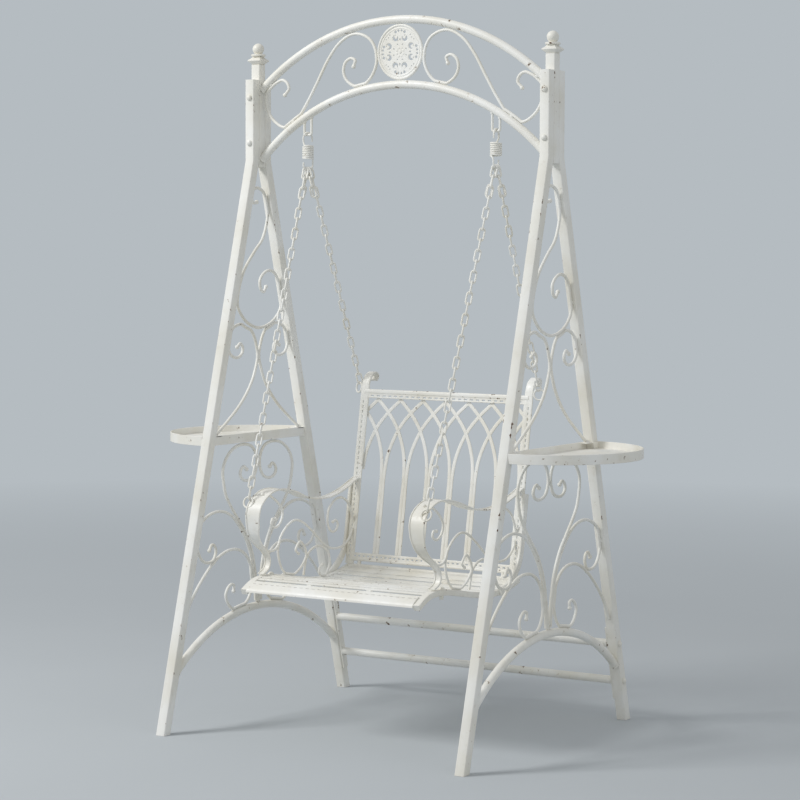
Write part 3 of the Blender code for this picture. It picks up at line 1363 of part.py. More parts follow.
def make_strut(label, turn, parent):
    """The flat curved bar outside the seat's end that carries the back."""
    x = turn * (BENCH_OUTER_X + GAP + REAR_BAR_WIDTH / 2)
    path = thin(smooth([(x, y, z) for y, z in STRUT_LINE]), STRUT_TURN, SAG_LIMIT)
    bar(f"arm_strut_{label}", path, ALONG_X, flat_outline(REAR_BAR_WIDTH, REAR_BAR_DEPTH), parent=parent)


def pivot(name, location, parent=None):
    """An empty on a joint's axis. Its pieces keep their places."""
    empty = bpy.data.objects.new(name, None)
    bpy.context.scene.collection.objects.link(empty)
    if parent:
        empty.parent = parent
        location = [a - b for a, b in zip(location, parent.location)]
    empty.location = location
    return empty


def main():
    clear_scene()
    swing = pivot("swing_pivot", (0, 0, HANG_Z))
    bench = pivot("spring_pivot", (0, 0, SPRING_TOP_Z), swing)
    for label, turn in (("left", -1), ("right", 1)):
        x = turn * SIDE_X
        make_legs(label, x, None)
        make_arch_post(label, x, None)
        make_finial(label, x, None)
        make_tie(label, x, None)
        make_side_scrolls(label, x, None)
        make_arch_scroll(label, turn, None)
        make_u_link(label, turn * HANG_X, None)
        make_tray(label, turn, None)
    arch_tube("arch_tube_upper", UPPER_CROWN_Z, UPPER_END_Z, ARCH_SEGMENTS, None)
    arch_tube("arch_tube_lower", LOWER_CROWN_Z, LOWER_END_Z, ARCH_SEGMENTS, None)
    make_medallion(None)
    make_brace(None)
    make_seat(bench)
    make_slats(bench)
    make_backrest_frame(bench)
    make_tracery(bench)
    for label, turn in (("left", -1), ("right", 1)):
        make_arm(label, turn, bench)
        make_arm_scrolls(label, turn, bench)
        make_strut(label, turn, bench)
        make_spring(label, turn * HANG_X, swing)
        make_chain(f"chain_front_{label}", turn, -HOOK_SEAT_Y, -TAIL_SEAT_Y, FRONT_LINKS, front_ring(turn), bench)
        make_chain(f"chain_back_{label}", turn, HOOK_SEAT_Y, TAIL_SEAT_Y, BACK_LINKS, back_ring(turn), bench)


main()
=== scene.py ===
"""Framed swing bench: the finished look of a wrought-iron garden seat that hangs on springs
and chains from an arched stand with scrolled sides.

Metres, +Z up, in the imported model's frame. The seat faces -Y.
"""

import math

import bmesh
import bpy
import numpy as np
from mathutils import Matrix, Vector


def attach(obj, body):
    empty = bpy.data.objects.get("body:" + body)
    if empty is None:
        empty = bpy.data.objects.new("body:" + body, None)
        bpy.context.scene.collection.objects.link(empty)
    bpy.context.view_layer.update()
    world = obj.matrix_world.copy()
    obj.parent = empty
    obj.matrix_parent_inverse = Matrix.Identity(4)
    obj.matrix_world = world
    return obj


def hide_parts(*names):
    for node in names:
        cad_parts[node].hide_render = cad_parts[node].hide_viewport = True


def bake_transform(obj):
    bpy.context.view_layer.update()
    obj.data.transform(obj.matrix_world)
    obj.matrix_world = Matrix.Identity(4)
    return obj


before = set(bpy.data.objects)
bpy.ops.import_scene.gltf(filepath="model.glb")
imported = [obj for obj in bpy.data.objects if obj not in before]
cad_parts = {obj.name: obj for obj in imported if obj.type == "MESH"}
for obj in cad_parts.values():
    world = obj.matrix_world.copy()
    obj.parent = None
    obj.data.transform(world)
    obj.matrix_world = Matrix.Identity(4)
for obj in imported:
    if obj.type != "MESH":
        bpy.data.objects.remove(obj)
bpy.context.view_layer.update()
X_WAY = np.array((1.0, 0.0, 0.0))
Y_WAY = np.array((0.0, 1.0, 0.0))
Z_WAY = np.array((0.0, 0.0, 1.0))


# Studio: pale floor, soft lamps and camera
# A seamless pale sweep to stand on, a large soft lamp from the upper left, a weak one from the
# right, and a camera where the photographer stood. The floor keeps the shadow, and fades with the
# distance from the bench into the backdrop's own grey.

FLOOR_COLOUR = "bcc1c4"
FLOOR_CLOUD = "c2c7ca"
FLOOR_HALF = 40
FLOOR_DROP = 0.0005
BACKDROP_COLOUR = "b5bcc1"
FADE_START = 2.2
FADE_END = 8.0
SKY_COLOUR = "eceff2"
SKY_LEVEL = 0.56
LAMPS = (
    ("key lamp", (-3.6, -4.0, 5.4), 2.2, 265),
    ("fill lamp", (5.5, -2.5, 3.2), 3.5, 22),
)
LAMP_AIM = Vector((0, 0, 0.9))
CAMERA_PLACE = (4.0922, -6.5394, 1.5075)
CAMERA_YAW = -0.5587
CAMERA_PITCH = -0.0651
CAMERA_ROLL = 0.0041
FOCAL_PIXELS = 2540.8
PHOTO_PIXELS = 800
SENSOR_MM = 36


def linear(code):
    """An sRGB hex code as linear red, green, blue and alpha."""
    shares = [int(code[i : i + 2], 16) / 255 for i in (0, 2, 4)]
    return tuple(c / 12.92 if c <= 0.04045 else ((c + 0.055) / 1.055) ** 2.4 for c in shares) + (1.0,)


def add(tree, kind, inputs, **settings):
    """A new node with its settings made, and each named input set or linked."""
    made = tree.nodes.new(kind)
    for key, value in settings.items():
        setattr(made, key, value)
    for key, value in inputs.items():
        if isinstance(value, bpy.types.NodeSocket):
            tree.links.new(value, made.inputs[key])
        else:
            made.inputs[key].default_value = value
    return made


floor_paint = bpy.data.materials.new("matt painted studio floor")
floor_paint.use_nodes = True
tree = floor_paint.node_tree
shader = tree.nodes["Principled BSDF"]
shader.inputs["Roughness"].default_value = 0.9
shader.inputs["Specular IOR Level"].default_value = 0.15
place = add(tree, "ShaderNodeTexCoord", {}).outputs["Object"]
cloud = add(tree, "ShaderNodeTexNoise", {"Vector": place, "Scale": 0.8, "Detail": 2.0}).outputs["Fac"]
shades = {0: cloud, 6: linear(FLOOR_COLOUR), 7: linear(FLOOR_CLOUD)}
tint = add(tree, "ShaderNodeMix", shades, data_type="RGBA")
tree.links.new(tint.outputs[2], shader.inputs["Base Color"])
far_off = add(tree, "ShaderNodeVectorMath", {0: place}, operation="LENGTH").outputs["Value"]
fade = add(tree, "ShaderNodeMapRange", {"Value": far_off, "From Min": FADE_START, "From Max": FADE_END})
glow = add(tree, "ShaderNodeEmission", {"Color": linear(BACKDROP_COLOUR)})
faded = add(tree, "ShaderNodeMixShader", {0: fade.outputs[0], 1: shader.outputs[0], 2: glow.outputs[0]})
tree.links.new(faded.outputs[0], tree.nodes["Material Output"].inputs["Surface"])
floor_mesh = bpy.data.meshes.new("studio_floor")
corners = [(-1, -1), (1, -1), (1, 1), (-1, 1)]
corners = [(FLOOR_HALF * x, FLOOR_HALF * y, -FLOOR_DROP) for x, y in corners]
floor_mesh.from_pydata(corners, [], [(0, 1, 2, 3)])
floor_mesh.materials.append(floor_paint)
floor = bpy.data.objects.new("studio_floor", floor_mesh)
bpy.context.scene.collection.objects.link(floor)

world = bpy.data.worlds.new("soft studio sky")
world.use_nodes = True
bpy.context.scene.world = world
sky = world.node_tree.nodes["Background"]
sky.inputs["Color"].default_value = linear(SKY_COLOUR)
sky.inputs["Strength"].default_value = SKY_LEVEL
backdrop = add(world.node_tree, "ShaderNodeBackground", {"Color": linear(BACKDROP_COLOUR)})
seen = add(world.node_tree, "ShaderNodeLightPath", {}).outputs["Is Camera Ray"]
view = add(world.node_tree, "ShaderNodeMixShader", {0: seen, 1: sky.outputs[0], 2: backdrop.outputs[0]})
world.node_tree.links.new(view.outputs[0], world.node_tree.nodes["World Output"].inputs["Surface"])

for name, aim_from, size, power in LAMPS:
    data = bpy.data.lights.new(name, "AREA")
    data.shape = "DISK"
    data.size = size
    data.energy = power
    lamp = bpy.data.objects.new(name, data)
    lamp.location = aim_from
    lamp.rotation_euler = (LAMP_AIM - lamp.location).to_track_quat("-Z", "Y").to_euler()
    bpy.context.scene.collection.objects.link(lamp)

forward = Vector((
    math.sin(CAMERA_YAW) * math.cos(CAMERA_PITCH),
    math.cos(CAMERA_YAW) * math.cos(CAMERA_PITCH),
    math.sin(CAMERA_PITCH),
))
level = Vector((math.cos(CAMERA_YAW), -math.sin(CAMERA_YAW), 0))
upright = level.cross(forward)
right = level * math.cos(CAMERA_ROLL) + upright * math.sin(CAMERA_ROLL)
up = upright * math.cos(CAMERA_ROLL) - level * math.sin(CAMERA_ROLL)
lens = bpy.data.cameras.new("camera")
lens.sensor_width = SENSOR_MM
lens.lens = FOCAL_PIXELS / PHOTO_PIXELS * SENSOR_MM
camera = bpy.data.objects.new("camera", lens)
turn = Matrix((right, up, -forward)).transposed().to_4x4()
camera.matrix_world = Matrix.Translation(CAMERA_PLACE) @ turn
bpy.context.scene.collection.objects.link(camera)
bpy.context.scene.camera = camera
bpy.context.scene.view_settings.view_transform = "Standard"


# Legs and arch posts
# Six lengths of 32 mm square steel tube: four splayed legs, bent where they meet the two upright
# posts that they are bolted to. Rolled corners, feet capped, all under old antique-white enamel.

SIDES = (("left", -1), ("right", 1))
SIDE_X = 0.523
LEG_SIDE = 0.032
LEG_WALL = 0.002
CORNER_R = 0.0032
FOOT_Y = 0.4953
KINK_Z = 1.733
LEG_TOP_Z = 1.986
POST_BOTTOM_Z = 1.715
POST_TOP_Z = 2.034
GAP = 0.0003
LEG_TOP_Y = LEG_SIDE + GAP
LEG_SLOPE = (FOOT_Y - LEG_TOP_Y) / KINK_Z
LEG_LEAN = math.atan(LEG_SLOPE)
PAINT_LIGHT = "f4f3ee"
PAINT_DEEP = "e9e5d9"
PRIMER = "a39c8f"
RUST_DARK = "33241c"
RUST_LIGHT = "7a5236"
RUST_STAIN = "b09a78"
GRIME = "c9c0ac"
CLOUD_MM = 140
FILM_MM = 30
KNOCKED_MM = 230
RUST_MM = 3
SHEEN_MM = 9
SHEEN = (0.34, 0.52)
EDGE_BIAS = 0.075
KNOCKED_BIAS = 0.055
CHIP_LIFT = 0.05
CHIP_BANDS = ((0.715, 0.765, 0.4), (0.758, 0.766, 1.0), (0.770, 0.788, 1.0))


def blend(tree, share, first, second):
    """The first colour turning to the second as the share goes from 0 to 1."""
    made = add(tree, "ShaderNodeMix", {0: share, 6: first, 7: second}, data_type="RGBA")
    return made.outputs[2]


def blots(tree, place, size_mm, detail, rough=0.5):
    """Noise from 0 to 1 whose blots are about size_mm across."""
    inputs = {"Vector": place, "Scale": 1000 / size_mm, "Detail": detail, "Roughness": rough}
    return add(tree, "ShaderNodeTexNoise", inputs).outputs["Fac"]


def between(tree, value, low, high, floor=0.0, top=1.0):
    """floor below low, top above high, and an even slope between."""
    inputs = {"Value": value, "From Min": low, "From Max": high, "To Min": floor, "To Max": top}
    return add(tree, "ShaderNodeMapRange", inputs).outputs["Result"]


def sum_of(tree, a, factor, b):
    """a times factor, plus b."""
    return add(tree, "ShaderNodeMath", {0: a, 1: factor, 2: b}, operation="MULTIPLY_ADD").outputs[0]


def enamelled_iron(name, chips, age, spot_mm=16):
    """Old enamel on wrought iron: a white coat gone faintly creamy in clouds, with an even sheen, and
    chipped to primer and rust in a few places, most of all on the edges that the wear attribute marks.
    A chip is where a fine noise tops three bands in turn: stained coat, rim of primer, core of rust."""
    material = bpy.data.materials.new(name)
    material.use_nodes = True
    tree = material.node_tree
    shader = tree.nodes["Principled BSDF"]
    place = add(tree, "ShaderNodeTexCoord", {}).outputs["Object"]
    wear = add(tree, "ShaderNodeAttribute", {}, attribute_name="wear").outputs["Fac"]
    cloud = blots(tree, place, CLOUD_MM, 4)
    creamy = between(tree, cloud, 0.36, 0.74 - 0.1 * age)
    coat = blend(tree, creamy, linear(PAINT_LIGHT), linear(PAINT_DEEP))
    film = between(tree, blots(tree, place, FILM_MM, 5, 0.6), 0.58, 0.84, 0.0, 0.2 + 0.25 * age)
    coat = blend(tree, film, coat, linear(GRIME))
    knocked = between(tree, blots(tree, place, KNOCKED_MM, 1), 0.46, 0.62)
    flake = sum_of(tree, wear, EDGE_BIAS, blots(tree, place, spot_mm, 8, 0.55))
    flake = sum_of(tree, knocked, KNOCKED_BIAS, flake)
    lift = CHIP_LIFT * chips
    bands = [between(tree, flake, low - lift, high - lift, 0.0, top) for low, high, top in CHIP_BANDS]
    stain, rim, core = bands
    coat = blend(tree, stain, coat, linear(RUST_STAIN))
    coat = blend(tree, rim, coat, linear(PRIMER))
    rust = blend(tree, blots(tree, place, RUST_MM, 4), linear(RUST_DARK), linear(RUST_LIGHT))
    tree.links.new(blend(tree, core, coat, rust), shader.inputs["Base Color"])
    sheen = between(tree, blots(tree, place, SHEEN_MM, 3), 0.3, 0.7, *SHEEN)
    tree.links.new(sum_of(tree, core, 0.35, sheen), shader.inputs["Roughness"])
    height = sum_of(tree, blots(tree, place, 2.5, 2), 0.15, blots(tree, place, 18, 2))
    height = sum_of(tree, rim, -0.35, height)
    bump = add(tree, "ShaderNodeBump", {"Height": height, "Strength": 0.25, "Distance": 0.001})
    tree.links.new(bump.outputs["Normal"], shader.inputs["Normal"])
    shader.inputs["Metallic"].default_value = 0
    return material


def unit(rows):
    """Each row at a length of 1."""
    return rows / np.linalg.norm(rows, axis=-1, keepdims=True)


def rolled(width, height, radius, steps=4):
    """Outline (sideways, upwards, wear) of a bar whose corners are quarter circles. Wear is 1 on them."""
    angle = np.linspace(0, math.pi / 2, steps)
    quarter = np.column_stack([np.cos(angle), np.sin(angle)]) * radius
    worn = np.where((angle > 0) & (angle < math.pi / 2), 1.0, 0.0)
    w = width / 2 - radius
    h = height / 2 - radius
    runs = []
    for c, s, x, y in ((1, 0, w, h), (0, 1, -w, h), (-1, 0, -w, -h), (0, -1, w, -h)):
        runs.append(np.column_stack([quarter @ np.array([[c, s], [-s, c]]) + (x, y), worn]))
    return np.vstack(runs)


def loft(rings, wear=None, closed=False):
    """(points, faces, wear) of a skin over rings, an array of ring, point and axis, with capped ends."""
    count, sides = rings.shape[:2]
    i = np.arange(count if closed else count - 1)[:, None] * sides
    j = np.arange(sides)[None]
    k = (j + 1) % sides
    after = (i + sides) % (count * sides)
    faces = np.stack([i + j, i + k, after + k, after + j], axis=2).reshape(-1, 4).tolist()
    if not closed:
        last = (count - 1) * sides
        faces += [list(range(sides))[::-1], list(range(last, last + sides))]
    worn = np.zeros(sides) if wear is None else wear
    return rings.reshape(-1, 3), faces, np.tile(worn, count)


def swept(path, side, outline, scale=None, closed=False):
    """An outline carried along a path. Each ring is spanned by side and by the cross product of path
    and side, which is stretched at a bend by 1 / cos(half the turn). scale is one number or two for
    each ring."""
    path = np.asarray(path, float)
    ahead = np.roll(path, -1, 0) - path
    if not closed:
        ahead[-1] = ahead[-2]
    ahead = unit(ahead)
    behind = np.roll(ahead, 1, 0)
    if not closed:
        behind[0] = ahead[0]
    along = unit(ahead + behind)
    side = np.broadcast_to(np.asarray(side, float), path.shape)
    side = unit(side - along * (side * along).sum(1)[:, None])
    rise = np.cross(along, side)
    mitre = 1 / np.clip((along * ahead).sum(1), 0.5, 1)
    scale = np.ones(len(path)) if scale is None else np.asarray(scale, float)
    if scale.ndim == 1:
        scale = np.column_stack([scale, scale])
    a = outline[None, :, 0] * scale[:, 0:1]
    b = outline[None, :, 1] * (scale[:, 1] * mitre)[:, None]
    rings = path[:, None] + a[..., None] * side[:, None] + b[..., None] * rise[:, None]
    return loft(rings, outline[:, 2] if outline.shape[1] > 2 else None, closed)


def piece(node, form, parts, material, body, sharp=38):
    """One finished piece of closed shells: faces outwards, wear kept as an attribute, then its paint,
    its body and the CAD node that it stands for, after which it is named."""
    starts = np.cumsum([0] + [len(points) for points, _, _ in parts])
    faces = [[start + i for i in face] for (_, part, _), start in zip(parts, starts) for face in part]
    mesh = bpy.data.meshes.new(f"{node}_{form}")
    mesh.from_pydata(np.vstack([points for points, _, _ in parts]), [], faces)
    work = bmesh.new()
    work.from_mesh(mesh)
    bmesh.ops.recalc_face_normals(work, faces=work.faces)
    work.to_mesh(mesh)
    work.free()
    worn = mesh.attributes.new("wear", "FLOAT", "POINT")
    worn.data.foreach_set("value", np.concatenate([w for _, _, w in parts]).astype(np.float32))
    mesh.shade_smooth()
    mesh.set_sharp_from_angle(angle=math.radians(sharp))
    obj = bpy.data.objects.new(mesh.name, mesh)
    bpy.context.scene.collection.objects.link(obj)
    mesh.materials.append(material)
    if body:
        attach(obj, body)
    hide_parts(node)
    return obj


def leg_y(z):
    """Distance of a leg's centre line from the middle plane at a height."""
    return LEG_TOP_Y + LEG_SLOPE * np.maximum(0.0, KINK_Z - np.asarray(z, float))


def leg_inner_y(z):
    """Distance of a leg's inner face from the middle plane at a height."""
    return leg_y(z) - LEG_SIDE / 2 / math.cos(LEG_LEAN)


def stacked(outline, sizes, levels, middle_x):
    """Rings of a level outline about (middle_x, 0), each at its own size and height."""
    flat = outline[None, :, :2] * np.asarray(sizes)[:, None, None] + (middle_x, 0)
    heights = np.broadcast_to(np.asarray(levels)[:, None, None], flat.shape[:2] + (1,))
    return np.concatenate([flat, heights], axis=2)


tube_paint = enamelled_iron("antique white enamel on square iron tube", 0.35, 0.35)
square_tube = rolled(LEG_SIDE, LEG_SIDE, CORNER_R)
bore_share = 1 - 2 * LEG_WALL / LEG_SIDE
for label, turn in SIDES:
    x = turn * SIDE_X
    for end, way in (("front", -1), ("back", 1)):
        line = [(x, way * FOOT_Y, 0), (x, way * LEG_TOP_Y, KINK_Z), (x, way * LEG_TOP_Y, LEG_TOP_Z)]
        line = np.array(line)
        points, faces, worn = swept(line, X_WAY, square_tube)
        lean = unit(line[1] - line[0])
        sole = points[: len(square_tube)]
        sole -= sole[:, 2:] / lean[2] * lean
        piece(f"{end}_leg_{label}", "tube", [(points, faces, worn)], tube_paint, "stand")
    levels = (POST_BOTTOM_Z + LEG_SIDE, POST_BOTTOM_Z, POST_BOTTOM_Z, POST_TOP_Z)
    post = loft(stacked(square_tube, (bore_share, bore_share, 1, 1), levels, x), square_tube[:, 2])
    piece(f"arch_post_{label}", "tube", [post], tube_paint, "stand")


# Finials
# A double-bevelled square cap on each post with a turned collar and ball above it, cast in one
# piece and pressed into the tube's open top. The sharp rims have lost most paint.

CAP_HALF = 0.0248
CAP_HEIGHT = 0.024
CAP_Z = POST_TOP_Z + CAP_HEIGHT / 2 + GAP
CAP_CORNER_R = 0.0015
CAP_LEVELS = np.array([
    (0.55, -0.5), (0.72, -0.30), (0.975, -0.07), (1.0, -0.03), (1.0, 0.03), (0.975, 0.07), (0.70, 0.30),
    (0.52, 0.5),
])
COLLAR_R = 0.0228
COLLAR_Z = 2.0645
BALL_R = 0.018
BALL_Z = COLLAR_Z + BALL_R
NECK_R = 0.0135
THROAT_R = NECK_R * 0.8


def turned(profile, centre, axis=Z_WAY, sides=36, wear=None):
    """A solid of (radius, distance along the axis) points turned about the axis through centre."""
    axis = unit(np.asarray(axis, float))
    u = unit(np.cross(axis, X_WAY if abs(axis[0]) < 0.5 else Y_WAY))
    v = np.cross(axis, u)
    angle = np.linspace(0, 2 * math.pi, sides, endpoint=False)[None, :, None]
    profile = np.asarray(profile, float)
    spokes = profile[:, 0, None, None] * (np.cos(angle) * u + np.sin(angle) * v)
    points, faces, worn = loft(np.asarray(centre, float) + profile[:, 1, None, None] * axis + spokes)
    if wear is not None:
        worn = np.repeat(np.asarray(wear, float), sides)
    return points, faces, worn


cast_paint = enamelled_iron("antique white enamel on cast iron", 0.7, 0.6)
for label, turn in SIDES:
    x = turn * SIDE_X
    corner = rolled(2 * CAP_HALF, 2 * CAP_HALF, CAP_CORNER_R, 3)
    cap = stacked(corner, CAP_LEVELS[:, 0], CAP_Z + CAP_HEIGHT * CAP_LEVELS[:, 1], x)
    top = CAP_Z + CAP_HEIGHT / 2
    angle = np.linspace(math.asin(THROAT_R / BALL_R), math.pi * 0.985, 16)
    ball = np.column_stack([BALL_R * np.sin(angle), BALL_Z - BALL_R * np.cos(angle)])
    collar = [
        (NECK_R, top - 0.004), (NECK_R, top + 0.0005), (COLLAR_R - 0.003, top + 0.001),
        (COLLAR_R, top + 0.003), (COLLAR_R, COLLAR_Z + 0.0005), (COLLAR_R - 0.0022, COLLAR_Z + 0.0022),
        (THROAT_R, COLLAR_Z + 0.003),
    ]
    knob = turned(np.vstack([collar, ball]), (x, 0, 0), wear=[0, 0, 0, 1, 1, 0, 0] + [0] * len(ball))
    piece(f"finial_{label}", "cast", [loft(cap, corner[:, 2]), knob], cast_paint, "stand", 30)


# Bolts
# Domed coach bolts through legs and posts, and through the rear brace's end plates, each over a
# thin washer. They were painted in place, and have begun to rust at the washer.

SHANK_R = 0.004
HEAD_R = 0.0098
HEAD_HEIGHT = 0.0075
DOME_SHARE = 0.92
WASHER_THICK = 0.0012
POST_BOLT_Z = {"upper": 1.930, "lower": 1.790}
BRACE_BOLT_Z = {"upper": 0.246, "lower": 0.126}
BRACE_PLATE_THICK = 0.006


def coach_bolt(head, out, length):
    """A washer and a low dome on a shank that runs the other way from the head."""
    angle = np.linspace(0.02, 0.5, 8)[::-1] * math.pi
    rim = HEAD_R * DOME_SHARE
    dome = np.column_stack([rim * np.sin(angle), WASHER_THICK + (HEAD_HEIGHT - WASHER_THICK) * np.cos(angle)])
    flat = [(SHANK_R, -length), (SHANK_R, 0), (HEAD_R, 0), (HEAD_R, WASHER_THICK), (rim, WASHER_THICK)]
    wear = [0, 0, 0.8, 1, 0.8] + [0.2] * (len(dome) - 1)
    return turned(np.vstack([flat, dome[1:]]), head, out, 24, wear)


bolt_paint = enamelled_iron("painted steel bolt, rusting at its washer", 1.1, 0.9)
for label, turn in SIDES:
    x = turn * SIDE_X
    reach = LEG_TOP_Y + LEG_SIDE / 2 + GAP
    for height, z in POST_BOLT_Z.items():
        bolt = coach_bolt((x, -reach, z), -Y_WAY, 2 * reach)
        piece(f"post_bolt_{height}_{label}", "dome", [bolt], bolt_paint, "stand")
    for height, z in BRACE_BOLT_Z.items():
        head = (turn * (SIDE_X + LEG_SIDE / 2 + GAP), float(leg_y(z)), z)
        bolt = coach_bolt(head, X_WAY * turn, LEG_SIDE + 2 * GAP + BRACE_PLATE_THICK)
        piece(f"brace_bolt_{height}_{label}", "dome", [bolt], bolt_paint, "stand")


# Arch tubes, side ties and rear brace
# Round 25 mm tube bent to even bows, with a bead of weld round each end: two across the top, one
# low in each side frame, and two straight ones in a ladder bolted between the back legs.

TUBE_R = 0.0125
ARCH_END_X = SIDE_X - LEG_SIDE / 2 - GAP
UPPER_CROWN_Z = 2.154
UPPER_END_Z = 1.956
LOWER_CROWN_Z = 1.959
LOWER_END_Z = 1.739
TIE_CROWN_Z = 0.334
TIE_END_Z = 0.180
BRACE_PLATE_TOP_Z = 0.300
BRACE_PLATE_BOTTOM_Z = 0.070
BRACE_PLATE_WIDTH = 0.024
BEAD_LENGTH = 0.004
BEAD_HEIGHT = 0.16
BEAD_REACH = 0.012


def circle_through(end, crown_z, end_z):
    """(radius, centre height) of the circle with its crown above the middle that passes the end."""
    rise = crown_z - end_z
    radius = (end**2 + rise**2) / (2 * rise)
    return radius, crown_z - radius


def bow(end, crown_z, end_z, count=90):
    """(across, height) points of the bow's centre line, evenly spaced by angle."""
    radius, centre_z = circle_through(end, crown_z, end_z)
    angle = np.linspace(-1, 1, count) * math.asin(end / radius)
    return np.column_stack([radius * np.sin(angle), centre_z + radius * np.cos(angle)])


def in_arch(flat):
    """(across, height) points as points of the arch's plane."""
    flat = np.asarray(flat, float)
    return np.column_stack([flat[:, 0], np.zeros(len(flat)), flat[:, 1]])


def on_side(x, flat):
    """(y, z) points as points of the plane at x."""
    flat = np.asarray(flat, float)
    return np.column_stack([np.full(len(flat), x), flat])


def ring_outline(radius, sides):
    """Points round a circle."""
    angle = np.linspace(0, 2 * math.pi, sides, endpoint=False)
    return np.column_stack([np.cos(angle), np.sin(angle)]) * radius


def along_path(path):
    """Distance of each point from the path's start."""
    steps = np.linalg.norm(np.diff(path, axis=0), axis=1)
    return np.concatenate([[0], np.cumsum(steps)])


def tube(path, side):
    """A round 25 mm tube whose radius swells by a weld bead's height close to each end."""
    path = np.asarray(path, float)
    far = along_path(path)
    ends = np.linspace(0, BEAD_REACH, 7)
    middle = np.linspace(BEAD_REACH + BEAD_LENGTH, far[-1] - BEAD_REACH - BEAD_LENGTH, len(path))
    stops = np.concatenate([ends, middle, far[-1] - ends[::-1]])
    path = np.column_stack([np.interp(stops, far, path[:, i]) for i in range(3)])
    near = np.minimum(stops, far[-1] - stops)
    swell = 1 + BEAD_HEIGHT * np.exp(-((near / BEAD_LENGTH) ** 2))
    return swept(path, side, ring_outline(TUBE_R, 24), swell)


bow_paint = enamelled_iron("antique white enamel on bent round tube", 1.3, 0.3, 26)
for name, crown, end in (
    ("arch_tube_upper", UPPER_CROWN_Z, UPPER_END_Z),
    ("arch_tube_lower", LOWER_CROWN_Z, LOWER_END_Z),
):
    points, faces, worn = tube(in_arch(bow(ARCH_END_X, crown, end)), Y_WAY)
    points[:, 0] = np.clip(points[:, 0], -ARCH_END_X, ARCH_END_X)
    piece(name, "bow", [(points, faces, worn)], bow_paint, "stand")
tie_half = float(leg_inner_y(TIE_END_Z)) - GAP
for label, turn in SIDES:
    points, faces, worn = tube(on_side(turn * SIDE_X, bow(tie_half, TIE_CROWN_Z, TIE_END_Z)), X_WAY)
    reach = leg_inner_y(points[:, 2]) - GAP
    points[:, 1] = np.clip(points[:, 1], -reach, reach)
    piece(f"side_tie_{label}", "bow", [(points, faces, worn)], bow_paint, "stand")
rail_end = ARCH_END_X - BRACE_PLATE_THICK
parts = [tube([(-rail_end, leg_y(z), z), (rail_end, leg_y(z), z)], Y_WAY) for z in BRACE_BOLT_Z.values()]
for turn in (-1, 1):
    x = turn * (ARCH_END_X - BRACE_PLATE_THICK / 2)
    line = [(x, leg_y(z), z) for z in (BRACE_PLATE_BOTTOM_Z, BRACE_PLATE_TOP_Z)]
    parts.append(swept(line, X_WAY, rolled(BRACE_PLATE_THICK, BRACE_PLATE_WIDTH, 0.001)))
piece("rear_brace", "ladder", parts, bow_paint, "stand")


# Side scrolls
# Round bar of 9.5 mm, bent hot round a jig and welded in each side frame: an S high up, a mirrored
# pair on the tray, a heart under it, two side scrolls and two low ones. Each curl ends in a ball.

BAR_R = 0.00475
BALL_END_R = 0.0066
PATH_STEP = 0.0024
SUNK = 0.0006
TOUCHING = 0.0004
LEG_WELD_SHARE = 0.8
KISS_SHARE = 0.8
HEART_WELDS = (0.012, 0.86)
TOP_SCROLL_Z = (1.213, 1.651)
PAIR_Z = (0.8905, 1.226)
HEART_TOP_Z = 0.850
SIDE_SCROLL_TOP_Z = 0.650
LOWER_SCROLL_Z = (0.330, 0.525)
SCROLL_FOOT_Z = TIE_CROWN_Z + TUBE_R + GAP
TOP_SCROLL = (
    (-0.29, 0.897), (-0.60, 0.893), (-0.96, 0.941), (-0.76, 0.986), (-0.12, 1.0), (0.78, 0.970),
    (1.02, 0.902), (0.94, 0.815), (0.60, 0.712), (0.26, 0.628), (-0.22, 0.550), (-0.75, 0.413),
    (-0.89, 0.279), (-0.85, 0.164), (-0.55, 0.068), (-0.27, 0.021), (0.01, 0), (0.34, 0.016),
    (0.65, 0.062), (0.91, 0.135), (1.02, 0.221), (1.0, 0.324), (0.85, 0.390), (0.58, 0.409),
    (0.27, 0.386), (0.08, 0.336), (0.12, 0.274), (0.25, 0.256), (0.34, 0.283),
)
PAIR = (
    (0.67, 0.798), (0.60, 0.821), (0.52, 0.792), (0.50, 0.747), (0.57, 0.705), (0.70, 0.693),
    (0.87, 0.726), (0.99, 0.804), (1.01, 0.893), (0.91, 0.967), (0.68, 1.0), (0.40, 0.976),
    (0.19, 0.911), (0.07, 0.804), (0.02, 0.699), (0.08, 0.580), (0.17, 0.470), (0.32, 0.345),
    (0.50, 0.229), (0.71, 0.119), (0.94, 0),
)
HEART = (
    (0.25, 0.847), (0.29, 0.861), (0.34, 0.847), (0.36, 0.815), (0.31, 0.783), (0.21, 0.771),
    (0.09, 0.795), (0.03, 0.861), (0.05, 0.930), (0.14, 0.980), (0.32, 1.0), (0.52, 0.984),
    (0.66, 0.930), (0.71, 0.857), (0.67, 0.777), (0.60, 0.695), (0.49, 0.620), (0.35, 0.538),
    (0.23, 0.462), (0.15, 0.386), (0.09, 0.303), (0.05, 0.199), (0.025, 0.104), (0.01, 0),
)
SIDE_SCROLL = (
    (0.78, 0.629), (0.76, 0.669), (0.71, 0.656), (0.68, 0.596), (0.70, 0.520), (0.77, 0.493),
    (0.88, 0.530), (0.97, 0.636), (1.02, 0.752), (1.0, 0.884), (0.91, 0.960), (0.77, 1.0),
    (0.63, 0.993), (0.49, 0.947), (0.36, 0.854), (0.25, 0.735), (0.16, 0.603), (0.10, 0.454),
    (0.08, 0.305), (0.05, 0.156), (0.035, 0),
)
